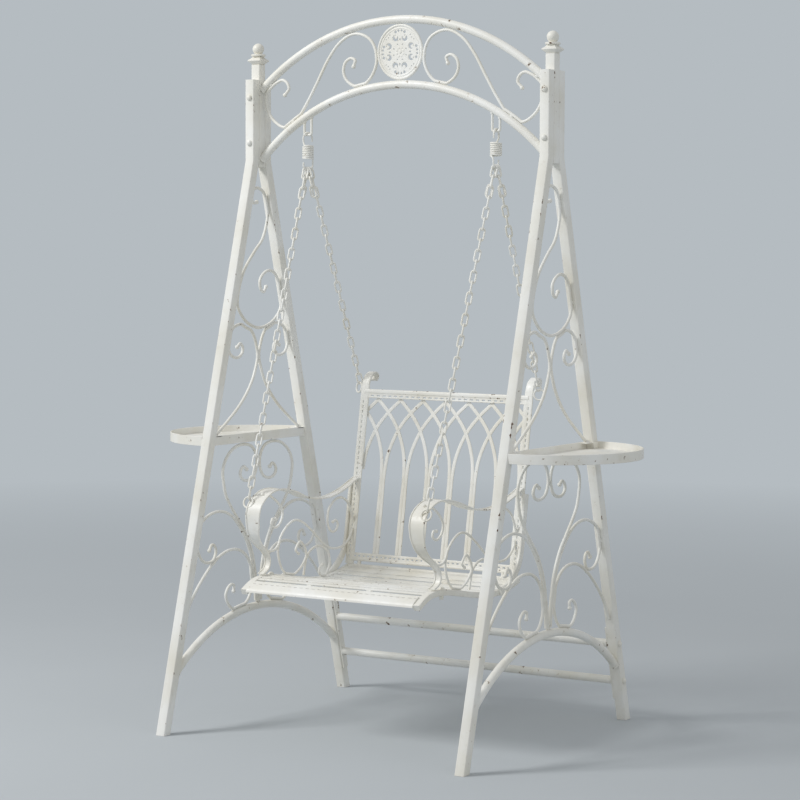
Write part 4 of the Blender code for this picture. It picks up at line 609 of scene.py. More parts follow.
LOWER_SCROLL = (
    (0.36, 0.349), (0.36, 0.415), (0.40, 0.441), (0.45, 0.385), (0.47, 0.282), (0.43, 0.144),
    (0.37, 0.056), (0.29, 0.036), (0.21, 0.067), (0.14, 0.164), (0.10, 0.318), (0.09, 0.513),
    (0.12, 0.692), (0.19, 0.862), (0.30, 0.969), (0.45, 1.0), (0.59, 0.944), (0.71, 0.821),
    (0.82, 0.641), (0.91, 0.436), (0.97, 0.231), (1.0, 0),
)


def even(path, step=PATH_STEP):
    """The path's points at even distances along it."""
    far = along_path(path)
    stops = np.linspace(0, far[-1], max(2, math.ceil(far[-1] / step) + 1))
    return np.column_stack([np.interp(stops, far, path[:, i]) for i in range(path.shape[1])])


def smooth(knots, step=PATH_STEP):
    """A curve through the knots: between two of them a blend, weighted by the root of chord length, of
    the parabola-like arcs through their neighbours (centripetal Catmull-Rom), at even distances."""
    p = np.array(knots, float)
    p = np.vstack([2 * p[0] - p[1], p, 2 * p[-1] - p[-2]])
    a, b, c, d = p[:-3], p[1:-2], p[2:-1], p[3:]
    t1 = np.linalg.norm(b - a, axis=1)[:, None, None] ** 0.5
    t2 = t1 + np.linalg.norm(c - b, axis=1)[:, None, None] ** 0.5
    t3 = t2 + np.linalg.norm(d - c, axis=1)[:, None, None] ** 0.5
    t = t1 + (t2 - t1) * np.linspace(0, 1, 48, endpoint=False)[None, :, None]
    a, b, c, d = (q[:, None] for q in (a, b, c, d))
    ab = ((t1 - t) * a + t * b) / t1
    bc = ((t2 - t) * b + (t - t1) * c) / (t2 - t1)
    cd = ((t3 - t) * c + (t - t2) * d) / (t3 - t2)
    abc = ((t2 - t) * ab + t * bc) / t2
    bcd = ((t3 - t) * bc + (t - t1) * cd) / (t3 - t1)
    curve = (((t2 - t) * abc + (t - t1) * bcd) / (t2 - t1)).reshape(-1, p.shape[1])
    return even(np.vstack([curve, p[-2]]), step)


def straight(ends, step=0.001):
    """Close points along straight runs."""
    return even(np.array(ends, float), step)


def seated(path, rests):
    """The path pushed straight off each rest, a line and a distance, so that a bar lies against it."""
    path = np.array(path, float)
    for line, distance in rests:
        offsets = path[:, None] - np.asarray(line, float)[None]
        lengths = np.linalg.norm(offsets, axis=2)
        near = lengths.argmin(axis=1)
        row = np.arange(len(path))
        least = lengths[row, near]
        close = least < distance
        push = offsets[row, near] * (distance / np.maximum(least, 1e-9))[:, None]
        path[close] = (np.asarray(line, float)[near] + push)[close]
    return path


def balled(path, radius, ball, ends="both"):
    """The path lengthened by a ball at its start, and at its end too, with a size for each ring. A
    ring's size on the ball is the sine of its angle, from where bar and ball meet to the tip."""
    start = math.asin(radius / ball)
    angle = np.linspace(start, math.pi * 0.97, 11)[1:]
    sizes = np.ones(len(path))
    for first in (True, False):
        if ends != "both" and not first:
            break
        tip, inner = (path[0], path[1]) if first else (path[-1], path[-2])
        out = unit(tip - inner)
        added = tip + out * (ball * (math.cos(start) - np.cos(angle)))[:, None]
        grown = ball * np.sin(angle) / radius
        path = np.vstack([added[::-1], path]) if first else np.vstack([path, added])
        sizes = np.concatenate([grown[::-1], sizes]) if first else np.concatenate([sizes, grown])
    return path, sizes


def scroll(path, side, radius=BAR_R, ball=BALL_END_R, ends="both"):
    """Round bar along a planar path with ball ends."""
    path, sizes = balled(even(path), radius, ball, ends)
    return swept(path, side, ring_outline(radius, 12), sizes)


def weld_bead(place, along, length=0.010, radius=0.0034):
    """A short bead: a circle carried along a line, whose radius follows a half ellipse with ripples."""
    t = np.linspace(-0.98, 0.98, 15)
    along = unit(np.asarray(along, float))
    side = unit(np.cross(along, (0.31, 0.52, 0.79)))
    sizes = np.sqrt(1 - t**2) * (1 + 0.10 * np.cos(14 * t))
    path = np.asarray(place, float) + (t * length / 2)[:, None] * along
    points, faces, worn = swept(path, side, ring_outline(radius, 10), sizes)
    return points, faces, worn + 0.9


def weld_pair(spot, along, length=0.010, off=0.9, across=X_WAY):
    """Two beads on a bar, each off to one side of its centre line by a share of its radius."""
    return [weld_bead(spot + across * side * BAR_R * off, along, length) for side in (-1, 1)]


def mirrored(path):
    """A scroll and its mirror image in the middle plane."""
    return [scroll(path * (1, way, 1), X_WAY, ends="start") for way in (1, -1)]


def from_shares(shares, low, high, way=1):
    """(y, z) points from shares of the way out to the leg and up the span."""
    shares = np.array(shares)
    z = low + (high - low) * shares[:, 1]
    return np.column_stack([way * shares[:, 0] * (leg_inner_y(z) - BAR_R - GAP), z])


def closest(path, line):
    """Index of the path's point that comes closest to a line."""
    return int(np.linalg.norm(path[:, None] - np.asarray(line)[None], axis=2).min(axis=1).argmin())


scroll_paint = enamelled_iron("antique white enamel on bent round bar", 0.65, 0.5)
tie_line = bow(tie_half, TIE_CROWN_Z, TIE_END_Z)
for label, turn in SIDES:
    x = turn * SIDE_X
    against = LEG_SIDE / 2 + GAP + BAR_R
    leg_line = {}
    for way in (1, -1):
        leg_line[way] = straight([(x, way * leg_y(z), z) for z in (0, KINK_Z, LEG_TOP_Z)])
    tie = (on_side(x, tie_line), TUBE_R + GAP + BAR_R)
    top = smooth(on_side(x, from_shares(TOP_SCROLL, *TOP_SCROLL_Z)))
    top = seated(top, [(leg_line[1], against), (leg_line[-1], against)])
    beads = []
    for way in (1, -1):
        gap = np.linalg.norm(top[:, None] - leg_line[way][None, ::4], axis=2).min(axis=1)
        touch = top[gap < against + TOUCHING]
        if len(touch):
            lean = unit(leg_line[way][1] - leg_line[way][0])
            spot = touch[len(touch) // 2] + (0, way * BAR_R * LEG_WELD_SHARE, 0)
            beads += weld_pair(spot, lean)
    piece(f"top_scroll_{label}", "bar", [scroll(top, X_WAY)] + beads, scroll_paint, "stand")

    middle = straight([(x, 0, 0.8), (x, 0, 1.3)])
    pair = smooth(on_side(x, from_shares(PAIR, *PAIR_Z)))
    pair = seated(pair, [(leg_line[1], against), (middle, BAR_R - SUNK), (top, 2 * BAR_R + GAP)])
    kiss = pair[closest(pair, middle)] * (1, 0, 1)
    parts = mirrored(pair) + weld_pair(kiss, Z_WAY, 0.016, KISS_SHARE)
    piece(f"scroll_pair_{label}", "bar", parts, scroll_paint, "stand")

    middle = straight([(x, 0, SCROLL_FOOT_Z), (x, 0, HEART_TOP_Z)])
    heart = smooth(on_side(x, from_shares(HEART, SCROLL_FOOT_Z, HEART_TOP_Z)))
    heart = seated(heart, [(middle, BAR_R - SUNK)])
    parts = mirrored(heart)
    for up in (HEART_WELDS[0], HEART_WELDS[1] * (HEART_TOP_Z - SCROLL_FOOT_Z)):
        parts += weld_pair(np.array((x, 0, SCROLL_FOOT_Z + up)), Z_WAY, 0.014, KISS_SHARE)
    piece(f"heart_scroll_{label}", "bar", parts, scroll_paint, "stand")

    for end, way in (("front", -1), ("back", 1)):
        own_heart = heart * (1, way, 1)
        side_bar = smooth(on_side(x, from_shares(SIDE_SCROLL, SCROLL_FOOT_Z, SIDE_SCROLL_TOP_Z, way)))
        side_bar = seated(side_bar, [(leg_line[way], against), tie, (own_heart, 2 * BAR_R + GAP)])
        lean = unit(leg_line[way][1] - leg_line[way][0])
        spot = side_bar[closest(side_bar, leg_line[way][::4])] + (0, way * BAR_R * LEG_WELD_SHARE, 0)
        parts = [scroll(side_bar, X_WAY, ends="start")] + weld_pair(spot, lean)
        piece(f"side_scroll_{end}_{label}", "bar", parts, scroll_paint, "stand")
        lower = smooth(on_side(x, from_shares(LOWER_SCROLL, *LOWER_SCROLL_Z, way)))
        rests = [(leg_line[way], against), tie, (side_bar, 2 * BAR_R + 2 * GAP)]
        lower = seated(seated(lower, rests), rests)
        spot = lower[-1] + (0, way * BAR_R * 0.6, -BAR_R * 0.2)
        parts = [scroll(lower, X_WAY, ends="start"), weld_bead(spot, X_WAY, 0.012)]
        piece(f"lower_scroll_{end}_{label}", "bar", parts, scroll_paint, "stand")


# Arch scrolls
# Two scrolls of the same bar, one each side of the medallion, bent to a long S that touches both
# arch tubes and ends in a curl by the post.

ARCH_SCROLL_Z = (1.847, 2.117)
MEDALLION_HALF_X = 0.081
MEDALLION_RIM_R = 0.0048
ARCH_SCROLL = (
    (0.328, 0.648), (0.32, 0.7), (0.351, 0.726), (0.391, 0.678), (0.403, 0.574), (0.377, 0.474),
    (0.308, 0.407), (0.239, 0.448), (0.187, 0.559), (0.166, 0.7), (0.182, 0.844), (0.215, 0.93),
    (0.278, 0.989), (0.343, 0.993), (0.43, 0.907), (0.511, 0.73), (0.588, 0.485), (0.667, 0.241),
    (0.74, 0.063), (0.835, -0.033), (0.92, 0.056), (0.963, 0.189), (0.973, 0.289), (0.961, 0.374),
    (0.928, 0.441), (0.888, 0.485), (0.849, 0.507), (0.815, 0.47), (0.803, 0.404), (0.827, 0.348),
)
medallion_low = LOWER_CROWN_Z + TUBE_R + GAP
medallion_high = UPPER_CROWN_Z - TUBE_R - GAP
medallion_half_z = (medallion_high - medallion_low) / 2
medallion_z = (medallion_high + medallion_low) / 2


def oval(half_x, half_z, count=96):
    """(across, height) points round the medallion's centre."""
    angle = np.linspace(0, 2 * math.pi, count, endpoint=False)
    return np.column_stack([half_x * np.cos(angle), medallion_z + half_z * np.sin(angle)])


rim_halves = (MEDALLION_HALF_X - MEDALLION_RIM_R, medallion_half_z - MEDALLION_RIM_R)
rim_line = in_arch(oval(*rim_halves, 300))
upper_line = in_arch(bow(ARCH_END_X, UPPER_CROWN_Z, UPPER_END_Z, 900))
lower_line = in_arch(bow(ARCH_END_X, LOWER_CROWN_Z, LOWER_END_Z, 900))
for label, turn in SIDES:
    shares = np.array(ARCH_SCROLL)
    heights = ARCH_SCROLL_Z[0] + (ARCH_SCROLL_Z[1] - ARCH_SCROLL_Z[0]) * shares[:, 1]
    knots = in_arch(np.column_stack([turn * shares[:, 0] * ARCH_END_X, heights]))
    post_line = straight([(turn * SIDE_X, 0, POST_BOTTOM_Z), (turn * SIDE_X, 0, POST_TOP_Z)])
    on_tube = TUBE_R + GAP + BAR_R
    rests = [(rim_line, MEDALLION_RIM_R + GAP + BAR_R), (upper_line, on_tube), (lower_line, on_tube)]
    rests.append((post_line, LEG_SIDE / 2 + GAP + BAR_R))
    path = seated(smooth(knots), rests)
    parts = [scroll(path, Y_WAY)]
    for line in (upper_line, lower_line):
        at = closest(path, line)
        near = np.linalg.norm(line - path[at], axis=1).argmin()
        spot = path[at] + (line[near] - path[at]) * BAR_R / on_tube
        way = line[min(near + 1, len(line) - 1)] - line[near - 1]
        parts += weld_pair(spot, way, 0.012, 0.7, Y_WAY)
    piece(f"arch_scroll_{label}", "bar", parts, scroll_paint, "stand")


# Medallion
# A pierced oval casting between the two tubes: moulded rims, and a generic rosette of eight curled
# holes with raised rings round a small flower, with rows of little eyes and dots inside the rim.

PLATE_THICK = 0.0036
PLATE_SHARE = 0.87
PLATE_EASING = 0.0004
RIMS = ((0.945, 0.0044, 16), (0.885, 0.0022, 12), (0.845, 0.0030, 12))
ROSETTE_CURLS = 8
CURL_R = 0.0108
CURL_SHARE = 0.525
CURL_TURN = 0.9
CURL_RING_R = 0.0025
INNER_HOLE = (0.29, 0.0022)
DIAMOND = (0.44, 0.0030)
DOT_R = 0.0020
EYE_R = 0.0050
EYES = ((-0.27, 0.735, 1.0), (-0.09, 0.755, 0.8), (0.09, 0.755, 0.8), (0.27, 0.735, 1.0))
DOTS = ((-0.15, 0.75), (0, 0.72), (0.15, 0.75))
PETALS = ((0.155, 1.0), (0.60, 0.62))
PETAL = np.array([(0.0006, -0.0030), (0.0036, -0.0026), (0.0044, 0), (0.0036, 0.0026), (0.0006, 0.0030)])


def spun(local, centre, turn):
    """Flat points turned about the origin, then moved to the centre."""
    c, s = math.cos(turn), math.sin(turn)
    return np.asarray(centre) + local @ np.array([[c, s], [-s, c]])


def disc(centre, radius, sides=20, turn=0.0, squash=1.0):
    """A closed outline round a point, longer along its turned first axis where squash is over 1."""
    return spun(ring_outline(1, sides) * (squash, 1) * radius, centre, turn)


def crescent(centre, radius, turn):
    """The outline of a round eye with a smaller disc standing into it from one side, as a curl does."""
    outer = np.linspace(0.42, 2 * math.pi - 0.42, 28)
    ring = np.column_stack([np.cos(outer), np.sin(outer)]) * radius
    inner = np.linspace(2 * math.pi - 0.75, 0.75, 22)
    knob = np.column_stack([0.30 + 0.44 * np.cos(inner), 0.44 * np.sin(inner)]) * radius
    return spun(np.vstack([ring, knob]), centre, turn)


def pierced(outline, holes):
    """(points, faces, wear) of the upright plate with its holes: closed (across, height) outlines
    filled between, given a thickness and eased edges."""
    curve = bpy.data.curves.new("rosette", "CURVE")
    curve.dimensions = "2D"
    curve.fill_mode = "BOTH"
    curve.extrude = PLATE_THICK / 2 - PLATE_EASING
    curve.bevel_depth = PLATE_EASING
    curve.bevel_resolution = 0
    curve.offset = -PLATE_EASING
    for ring in [outline] + holes:
        spline = curve.splines.new("POLY")
        spline.points.add(len(ring) - 1)
        corners = np.column_stack([ring, np.zeros(len(ring)), np.ones(len(ring))])
        spline.points.foreach_set("co", corners.ravel())
        spline.use_cyclic_u = True
    holder = bpy.data.objects.new("rosette", curve)
    bpy.context.scene.collection.objects.link(holder)
    bpy.context.view_layer.update()
    mesh = bpy.data.meshes.new_from_object(holder)
    work = bmesh.new()
    work.from_mesh(mesh)
    bmesh.ops.remove_doubles(work, verts=work.verts, dist=0.00002)
    points = np.array([v.co for v in work.verts])
    faces = [[v.index for v in face.verts] for face in work.faces]
    work.free()
    bpy.data.objects.remove(holder)
    bpy.data.curves.remove(curve)
    bpy.data.meshes.remove(mesh)
    return points[:, (0, 2, 1)], faces, np.zeros(len(points))


def on_oval(angle, share):
    """The point at an angle round the medallion, at a share of the way out to its edge."""
    return centre + half * (math.cos(angle), math.sin(angle)) * share


half = np.array((MEDALLION_HALF_X, medallion_half_z))
centre = np.array((0, medallion_z))
angle = 2 * math.pi * (np.arange(ROSETTE_CURLS) + 0.5) / ROSETTE_CURLS
holes = []
for i, a in enumerate(angle):
    holes.append(crescent(on_oval(a, CURL_SHARE), CURL_R, a + (CURL_TURN if i % 2 else -CURL_TURN)))
    holes.append(disc(on_oval(a, INNER_HOLE[0]), INNER_HOLE[1], 8))
for quarter in range(4):
    a = quarter * math.pi / 2
    for off, share, size in EYES:
        holes.append(disc(on_oval(a + off, share), EYE_R * size, 4, a + off, 1.1))
    holes.append(disc(on_oval(a, DIAMOND[0]), DIAMOND[1], 4, a, 1.5))
    a += math.pi / 4
    for off, share in DOTS:
        holes.append(disc(on_oval(a + off, share), DOT_R, 6, a))
parts = [pierced(oval(MEDALLION_HALF_X * PLATE_SHARE, medallion_half_z * PLATE_SHARE, 72), holes)]
edge = oval(MEDALLION_HALF_X, medallion_half_z) - centre
for share, radius, sides in RIMS:
    parts.append(swept(in_arch(centre + edge * share), Y_WAY, ring_outline(radius, sides), closed=True))
for a in angle:
    for share, size in PETALS:
        across, height = on_oval(a, share)
        parts.append(turned(PETAL * size, (across, 0, height), -Y_WAY, 12))
    round_curl = in_arch(disc(on_oval(a, CURL_SHARE), CURL_R + SUNK, 28))
    parts.append(swept(round_curl, Y_WAY, ring_outline(CURL_RING_R, 8) * (0.5, 1), closed=True))
parts.append(turned(PETAL * 1.3, (0, 0, medallion_z), -Y_WAY, 24))
piece("arch_medallion", "casting", parts, cast_paint, "stand", 30)


# Spring eyes
# A U of 8 mm rod under the lower tube for each spring's upper hook, with welds where it meets the
# tube.

HANG_X = 0.335
HANG_Z = 1.813
LINK_WIRE_R = 0.004
LINK_HALF_X = 0.0131
LINK_BEND = 0.0062
LINK_SINK = 0.002
LINK_WELD = ((0.003, -0.003), (0.0054, -0.002), (0.0062, 0), (0.0058, 0.003), (0.004, 0.006))
bend = np.linspace(0, math.pi / 2, 9)
corner = np.column_stack([LINK_BEND * (1 - np.cos(bend)), LINK_BEND * (1 - np.sin(bend))])
for label, turn in SIDES:
    x = turn * HANG_X
    radius, centre_z = circle_through(ARCH_END_X, LOWER_CROWN_Z, LOWER_END_Z)
    feet = []
    for end_x in (x - LINK_HALF_X, x + LINK_HALF_X):
        feet.append((end_x, centre_z + math.sqrt((radius - TUBE_R + LINK_SINK) ** 2 - end_x**2)))
    left = (x - LINK_HALF_X, HANG_Z) + corner
    right = ((x + LINK_HALF_X, HANG_Z) + corner * (-1, 1))[::-1]
    path = in_arch(np.vstack([[feet[0]], left, right, [feet[1]]]))
    parts = [swept(path, Y_WAY, ring_outline(LINK_WIRE_R, 14))]
    for end_x, height in feet:
        wear = [0.5] * len(LINK_WELD)
        parts.append(turned(LINK_WELD, (end_x, 0, height - LINK_SINK), Z_WAY, 16, wear))
    piece(f"u_link_{label}", "rod", parts, scroll_paint, "stand")


# Trays
# Pressed steel shelves: a half disc with an upright rim all round, notched for the legs, with a tab
# and a bolt in each inner corner. The smooth sheet has kept most of its enamel.

TRAY_R = 0.276
TRAY_BOTTOM_Z = 0.857
TRAY_TOP_Z = 0.886
TRAY_FLOOR_Z = 0.865
TRAY_SHEET = 0.002
TRAY_RIM = 0.0035
TRAY_INNER_X = 0.513
TRAY_LEG_GAP = 0.0004
TRAY_TAB = 0.032
TRAY_TAB_THICK = 0.0036
TRAY_TAB_DROP = 0.0022
TAB_BOLT_INSET = 0.012
TAB_BOLT_SINK = 0.0006
TAB_BOLT_LENGTH = 0.004
TRAY_EDGE_R = 0.0008
TRAY_RINGS = (
    (TRAY_FLOOR_Z - TRAY_SHEET, TRAY_RIM), (TRAY_BOTTOM_Z + TRAY_EDGE_R, TRAY_RIM),
    (TRAY_BOTTOM_Z, TRAY_RIM - TRAY_EDGE_R), (TRAY_BOTTOM_Z, TRAY_EDGE_R), (TRAY_BOTTOM_Z + TRAY_EDGE_R, 0),
    (TRAY_TOP_Z - TRAY_EDGE_R, 0), (TRAY_TOP_Z, TRAY_EDGE_R), (TRAY_TOP_Z, TRAY_RIM - TRAY_EDGE_R),
    (TRAY_TOP_Z - TRAY_EDGE_R, TRAY_RIM), (TRAY_FLOOR_Z, TRAY_RIM),
)
TRAY_WORN_RINGS = (4, 5, 6, 7)


def tray_ring(z, inset):
    """Points round the tray at a height, each edge set in by inset: inner edge, steps behind the legs
    and the half circle between them."""
    edge = float(leg_inner_y(z)) - TRAY_LEG_GAP - inset
    inner_x = TRAY_INNER_X + inset
    radius = TRAY_R - inset
    step = LEG_SIDE / 2 + TRAY_LEG_GAP + inset
    angle = np.linspace(1, -1, 97) * math.acos(step / radius)
    curve = np.column_stack([SIDE_X + radius * np.cos(angle), radius * np.sin(angle)])
    outer_x = SIDE_X + step
    flat = np.vstack([[(inner_x, edge), (outer_x, edge)], curve, [(outer_x, -edge), (inner_x, -edge)]])
    return np.column_stack([flat, np.full(len(flat), z)])


tray_paint = enamelled_iron("antique white enamel on pressed sheet steel", 0.3, 0.55)
for label, turn in SIDES:
    rings = np.array([tray_ring(z, inset) for z, inset in TRAY_RINGS]) * (turn, 1, 1)
    points, faces, worn = loft(rings)
    edges = np.isin(np.arange(len(rings)), TRAY_WORN_RINGS).astype(float)
    parts = [(points, faces, np.repeat(edges, rings.shape[1]) * 0.7)]
    outer_y = float(leg_inner_y(TRAY_TOP_Z)) - TRAY_LEG_GAP - TRAY_RIM / 2
    mid_x = turn * (TRAY_INNER_X + SIDE_X + LEG_SIDE / 2) / 2
    tab = rolled(SIDE_X + LEG_SIDE / 2 - TRAY_INNER_X, TRAY_TAB_THICK, TRAY_EDGE_R)
    for way in (-1, 1):
        line = [(mid_x, way * y, TRAY_TOP_Z - TRAY_TAB_DROP) for y in (outer_y - TRAY_TAB, outer_y)]
        parts.append(swept(line, X_WAY, tab))
        head = (mid_x, way * (outer_y - TAB_BOLT_INSET), TRAY_TOP_Z - TAB_BOLT_SINK)
        parts.append(coach_bolt(head, Z_WAY, TAB_BOLT_LENGTH))
    piece(f"tray_{label}", "pressing", parts, tray_paint, "stand", 30)


# Springs
# Coil springs of 5.4 mm wire, hung in the eyes, with a hook bent over at each end. The coils are
# close wound.

SPRING_WIRE_R = 0.0027
SPRING_MEAN_R = 0.0155
SPRING_TOP_Z = 1.780
SPRING_TURNS = 7
SPRING_PITCH = 0.0059
SPRING_BOTTOM_Z = SPRING_TOP_Z - SPRING_TURNS * SPRING_PITCH
HOOK_WIRE_Z = HANG_Z + LINK_WIRE_R + GAP + SPRING_WIRE_R
HOOK_DROP = 0.032
HOOK_STEP = 0.0012
UPPER_HOOK = (
    (-1.0, 0.30), (-0.98, 0.62), (-0.72, 0.87), (-0.30, 0.995), (0, 1.0), (0.38, 0.95),
    (0.76, 0.76), (0.90, 0.5), (0.84, 0.30),
)
LOWER_HOOK = (
    (1.0, 0.25), (0.99, 0.55), (0.86, 0.84), (0.56, 0.99), (0.48, 1.0), (0, 1.0),
    (-0.48, 1.0), (-0.56, 0.99), (-0.86, 0.84), (-0.97, 0.55), (-0.93, 0.32),
)
HOOK_TURN = {"left": math.radians(-35), "right": math.pi}
spring_paint = enamelled_iron("painted spring wire, worn on the outside of its turns", 0.6, 0.5)


def turned_about_z(points, angle):
    """The points turned about the upright axis through x = 0 and y = 0."""
    c, s = math.cos(angle), math.sin(angle)
    return points @ np.array([(c, s, 0), (-s, c, 0), (0, 0, 1)])


def spring_hook(shares, root_z, reach):
    """A hook's centre line: shares of the coil's radius and of its reach, up (+) or down (-)."""
    y, rise = np.array(shares).T
    hook = np.column_stack([np.zeros(len(y)), y * SPRING_MEAN_R, root_z + reach * rise])
    return smooth(hook[:: 1 if reach < 0 else -1], HOOK_STEP)


t = np.linspace(0, 1, 360)
angle = -math.pi / 2 + 2 * math.pi * (SPRING_TURNS + 0.5) * t
fall = SPRING_TOP_Z - SPRING_TURNS * SPRING_PITCH * t
coil = np.column_stack([SPRING_MEAN_R * np.cos(angle), SPRING_MEAN_R * np.sin(angle), fall])
upper = spring_hook(UPPER_HOOK, SPRING_TOP_Z, HOOK_WIRE_Z - SPRING_TOP_Z)
lower = spring_hook(LOWER_HOOK, SPRING_BOTTOM_Z, -HOOK_DROP)
wire = np.vstack([upper, coil[3:-3], lower])
hub = wire * (0, 0, 1)
hub[:, 2] = np.clip(wire[:, 2], SPRING_BOTTOM_Z, SPRING_TOP_Z)
outward = unit(wire - hub)
outline = ring_outline(SPRING_WIRE_R, 12)
worn = np.where(outline[:, 0] > SPRING_WIRE_R * 0.8, 0.5, 0.0)
for label, turn in SIDES:
    x = turn * HANG_X
    path, way = (turned_about_z(line, HOOK_TURN[label]) for line in (wire, outward))
    part = swept(path + (x, 0, 0), way, np.column_stack([outline, worn]))
    coiled = piece(f"spring_{label}", "wire", [part], spring_paint, None)
    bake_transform(coiled)


# Chains
# Long-link chain of 5.6 mm wire, welded: each front chain runs from its spring hook to a ring in the
# arm, each back chain to a ring welded to the back post's edge, and a short loose end hangs beside
# each on the hook.

CHAIN_WIRE_R = 0.0028
CHAIN_WIDTH = 0.0212
CHAIN_WAY = (0.85, 0.53, 0.0)
FRONT_LINKS = 32
BACK_LINKS = 23
TAIL_LINKS = 3
TAIL_PITCH = 0.032
TAIL_SPLAY = math.radians(17)
HOOK_SEAT_Y = 0.0071
TAIL_SEAT_Y = 0.0028
RING_R = 0.0165
RING_WIRE_R = 0.0030
FRONT_RING_OFF = 0.0070
FRONT_RING_X = 0.313
BACK_RING_UP = 0.541
BACK_RING_OFF = 0.0015
BACK_RING_TURN = math.radians(28)
BENCH_OUTER_X = 0.3135
BACK_FOOT = (0.189, 0.486)
BACK_TOP = (0.2744, 0.998)
ARM_HOLE = (-0.352, 0.699)
ARM_THICK = 0.0055
ARM_CLEAR = 0.0004
SEAT_BAR_TALL = 0.018
SEAT_LINE = (
    (-0.384, 0.447), (-0.345, 0.466), (-0.314, 0.475), (-0.250, 0.477), (-0.163, 0.465),
    (-0.076, 0.450), (-0.010, 0.4415), (0.050, 0.438), (0.100, 0.4425), (0.150, 0.4505), (0.200, 0.463),
)
ARM_LINE = (
    (0.2245, 0.734), (0.190, 0.721), (0.144, 0.705), (0.098, 0.694), (0.053, 0.687), (0.000, 0.687),
    (-0.050, 0.692), (-0.100, 0.703), (-0.147, 0.7185), (-0.204, 0.732), (-0.245, 0.737), (-0.290, 0.733),
    (-0.330, 0.715), (-0.352, 0.695), (-0.361, 0.670), (-0.359, 0.635), (-0.348, 0.602), (-0.318, 0.573),
    (-0.285, 0.552), (-0.267, 0.530), (-0.264, 0.512), (-0.272, 0.496), (-0.296, 0.484), (-0.340, 0.470),
)
BACK_UP = unit(np.array((0, BACK_TOP[0] - BACK_FOOT[0], BACK_TOP[1] - BACK_FOOT[1])))
BACK_REAR = np.cross(BACK_UP, X_WAY)
BACK_HEIGHT = math.hypot(BACK_TOP[0] - BACK_FOOT[0], BACK_TOP[1] - BACK_FOOT[1])


def back_point(x, up, rear=0.0):
    """Points of the backrest: across, up along its posts from the bottom rail, and rearwards."""
    x, up, rear = (np.asarray(v, float)[..., None] for v in np.broadcast_arrays(x, up, rear))
    return np.array((0, BACK_FOOT[0], BACK_FOOT[1])) + X_WAY * x + BACK_UP * up + BACK_REAR * rear


def links(start, end, count):
    """Long links from start to end, every other one turned a quarter. One link's centre line is two
    straights joined by half circles: every point of every link comes from one grid."""
    start, end = np.array(start, float), np.array(end, float)
    reach = np.linalg.norm(end - start)
    down = (end - start) / reach
    overlap = 2 * CHAIN_WIRE_R
    pitch = (reach - overlap) / count
    flat = unit(CHAIN_WAY - down * (down @ CHAIN_WAY))
    planes = np.array([flat, np.cross(down, flat)])
    half = CHAIN_WIDTH / 2 - CHAIN_WIRE_R
    length = pitch + overlap
    bend = np.linspace(0, math.pi, 10)
    first = np.column_stack([half * np.cos(bend), half - half * np.sin(bend)])
    last = np.column_stack([-half * np.cos(bend), length - half + half * np.sin(bend)])
    loop = np.vstack([first, last])
    parts = []
    for i in range(count):
        across = planes[i % 2]
        path = start + down * (pitch * i) + loop[:, :1] * across + loop[:, 1:] * down
        parts.append(swept(path, np.cross(across, down), ring_outline(CHAIN_WIRE_R, 8), closed=True))
    return parts


chain_paint = enamelled_iron("painted steel chain, rubbed where its links meet", 0.5, 0.6)
seat_centre = smooth(on_side(0, np.array(SEAT_LINE) - (0, SEAT_BAR_TALL / 2)), 0.003)
rest = SEAT_BAR_TALL / 2 + GAP + ARM_CLEAR + ARM_THICK / 2
arm_centre = seated(smooth(on_side(0, ARM_LINE)), [(seat_centre, rest)])
near = int(np.linalg.norm(arm_centre[:, 1:] - np.array(ARM_HOLE), axis=1).argmin())
hook_drop_z = SPRING_BOTTOM_Z - HOOK_DROP
lift = SPRING_WIRE_R + 2 * GAP + CHAIN_WIRE_R
hold = RING_WIRE_R + CHAIN_WIRE_R
for label, turn in SIDES:
    front = arm_centre[near] + (turn * FRONT_RING_X, 0, 0)
    tug = unit(np.array((turn * HANG_X, 0, SPRING_TOP_Z)) - front)
    front = front + tug * FRONT_RING_OFF
    out = X_WAY * turn * math.cos(BACK_RING_TURN) + BACK_REAR * math.sin(BACK_RING_TURN)
    back = back_point(turn * BENCH_OUTER_X, BACK_RING_UP) + out * (RING_R + BACK_RING_OFF)
    pull = np.array((turn * HANG_X, 0, SPRING_TOP_Z)) - back
    flat = unit(BACK_UP * (pull @ BACK_UP) + out * (pull @ out))
    for name, count, y, tail_y, middle, axes, grip in (
        ("front", FRONT_LINKS, -HOOK_SEAT_Y, -TAIL_SEAT_Y, front, (X_WAY, tug), front + tug * RING_R),
        ("back", BACK_LINKS, HOOK_SEAT_Y, TAIL_SEAT_Y, back, (BACK_UP, out), back + flat * RING_R),
    ):
        hook = np.array((turn * HANG_X, y, hook_drop_z))
        if turn < 0:
            hook += turned_about_z(np.array((0, y, 0)), HOOK_TURN["left"]) - (0, y, 0)
        down = unit(grip - hook)
        parts = links(hook - down * lift, grip + down * hold, count)
        side = turn if y > 0 else -turn
        tail_down = np.array((side * math.sin(TAIL_SPLAY), 0, -math.cos(TAIL_SPLAY)))
        tail_top = np.array((turn * HANG_X, tail_y, hook_drop_z)) - tail_down * lift
        parts += links(tail_top, tail_top + tail_down * TAIL_PITCH * TAIL_LINKS, TAIL_LINKS)
        around = np.linspace(0, 2 * math.pi, 40, endpoint=False)[:, None]
        circle = middle + RING_R * (np.cos(around) * axes[0] + np.sin(around) * axes[1])
        parts.append(swept(circle, np.cross(*axes), ring_outline(RING_WIRE_R, 12), closed=True))
        piece(f"chain_{name}_{label}", "links", parts, chain_paint, "bench")


# Seat frame
# Flat bar down each side, dished like the sitter's lap and bolted through, a wide strip rolled over
# the front edge and a flat bar at the back. The front strip is stamped with a row of short slots.

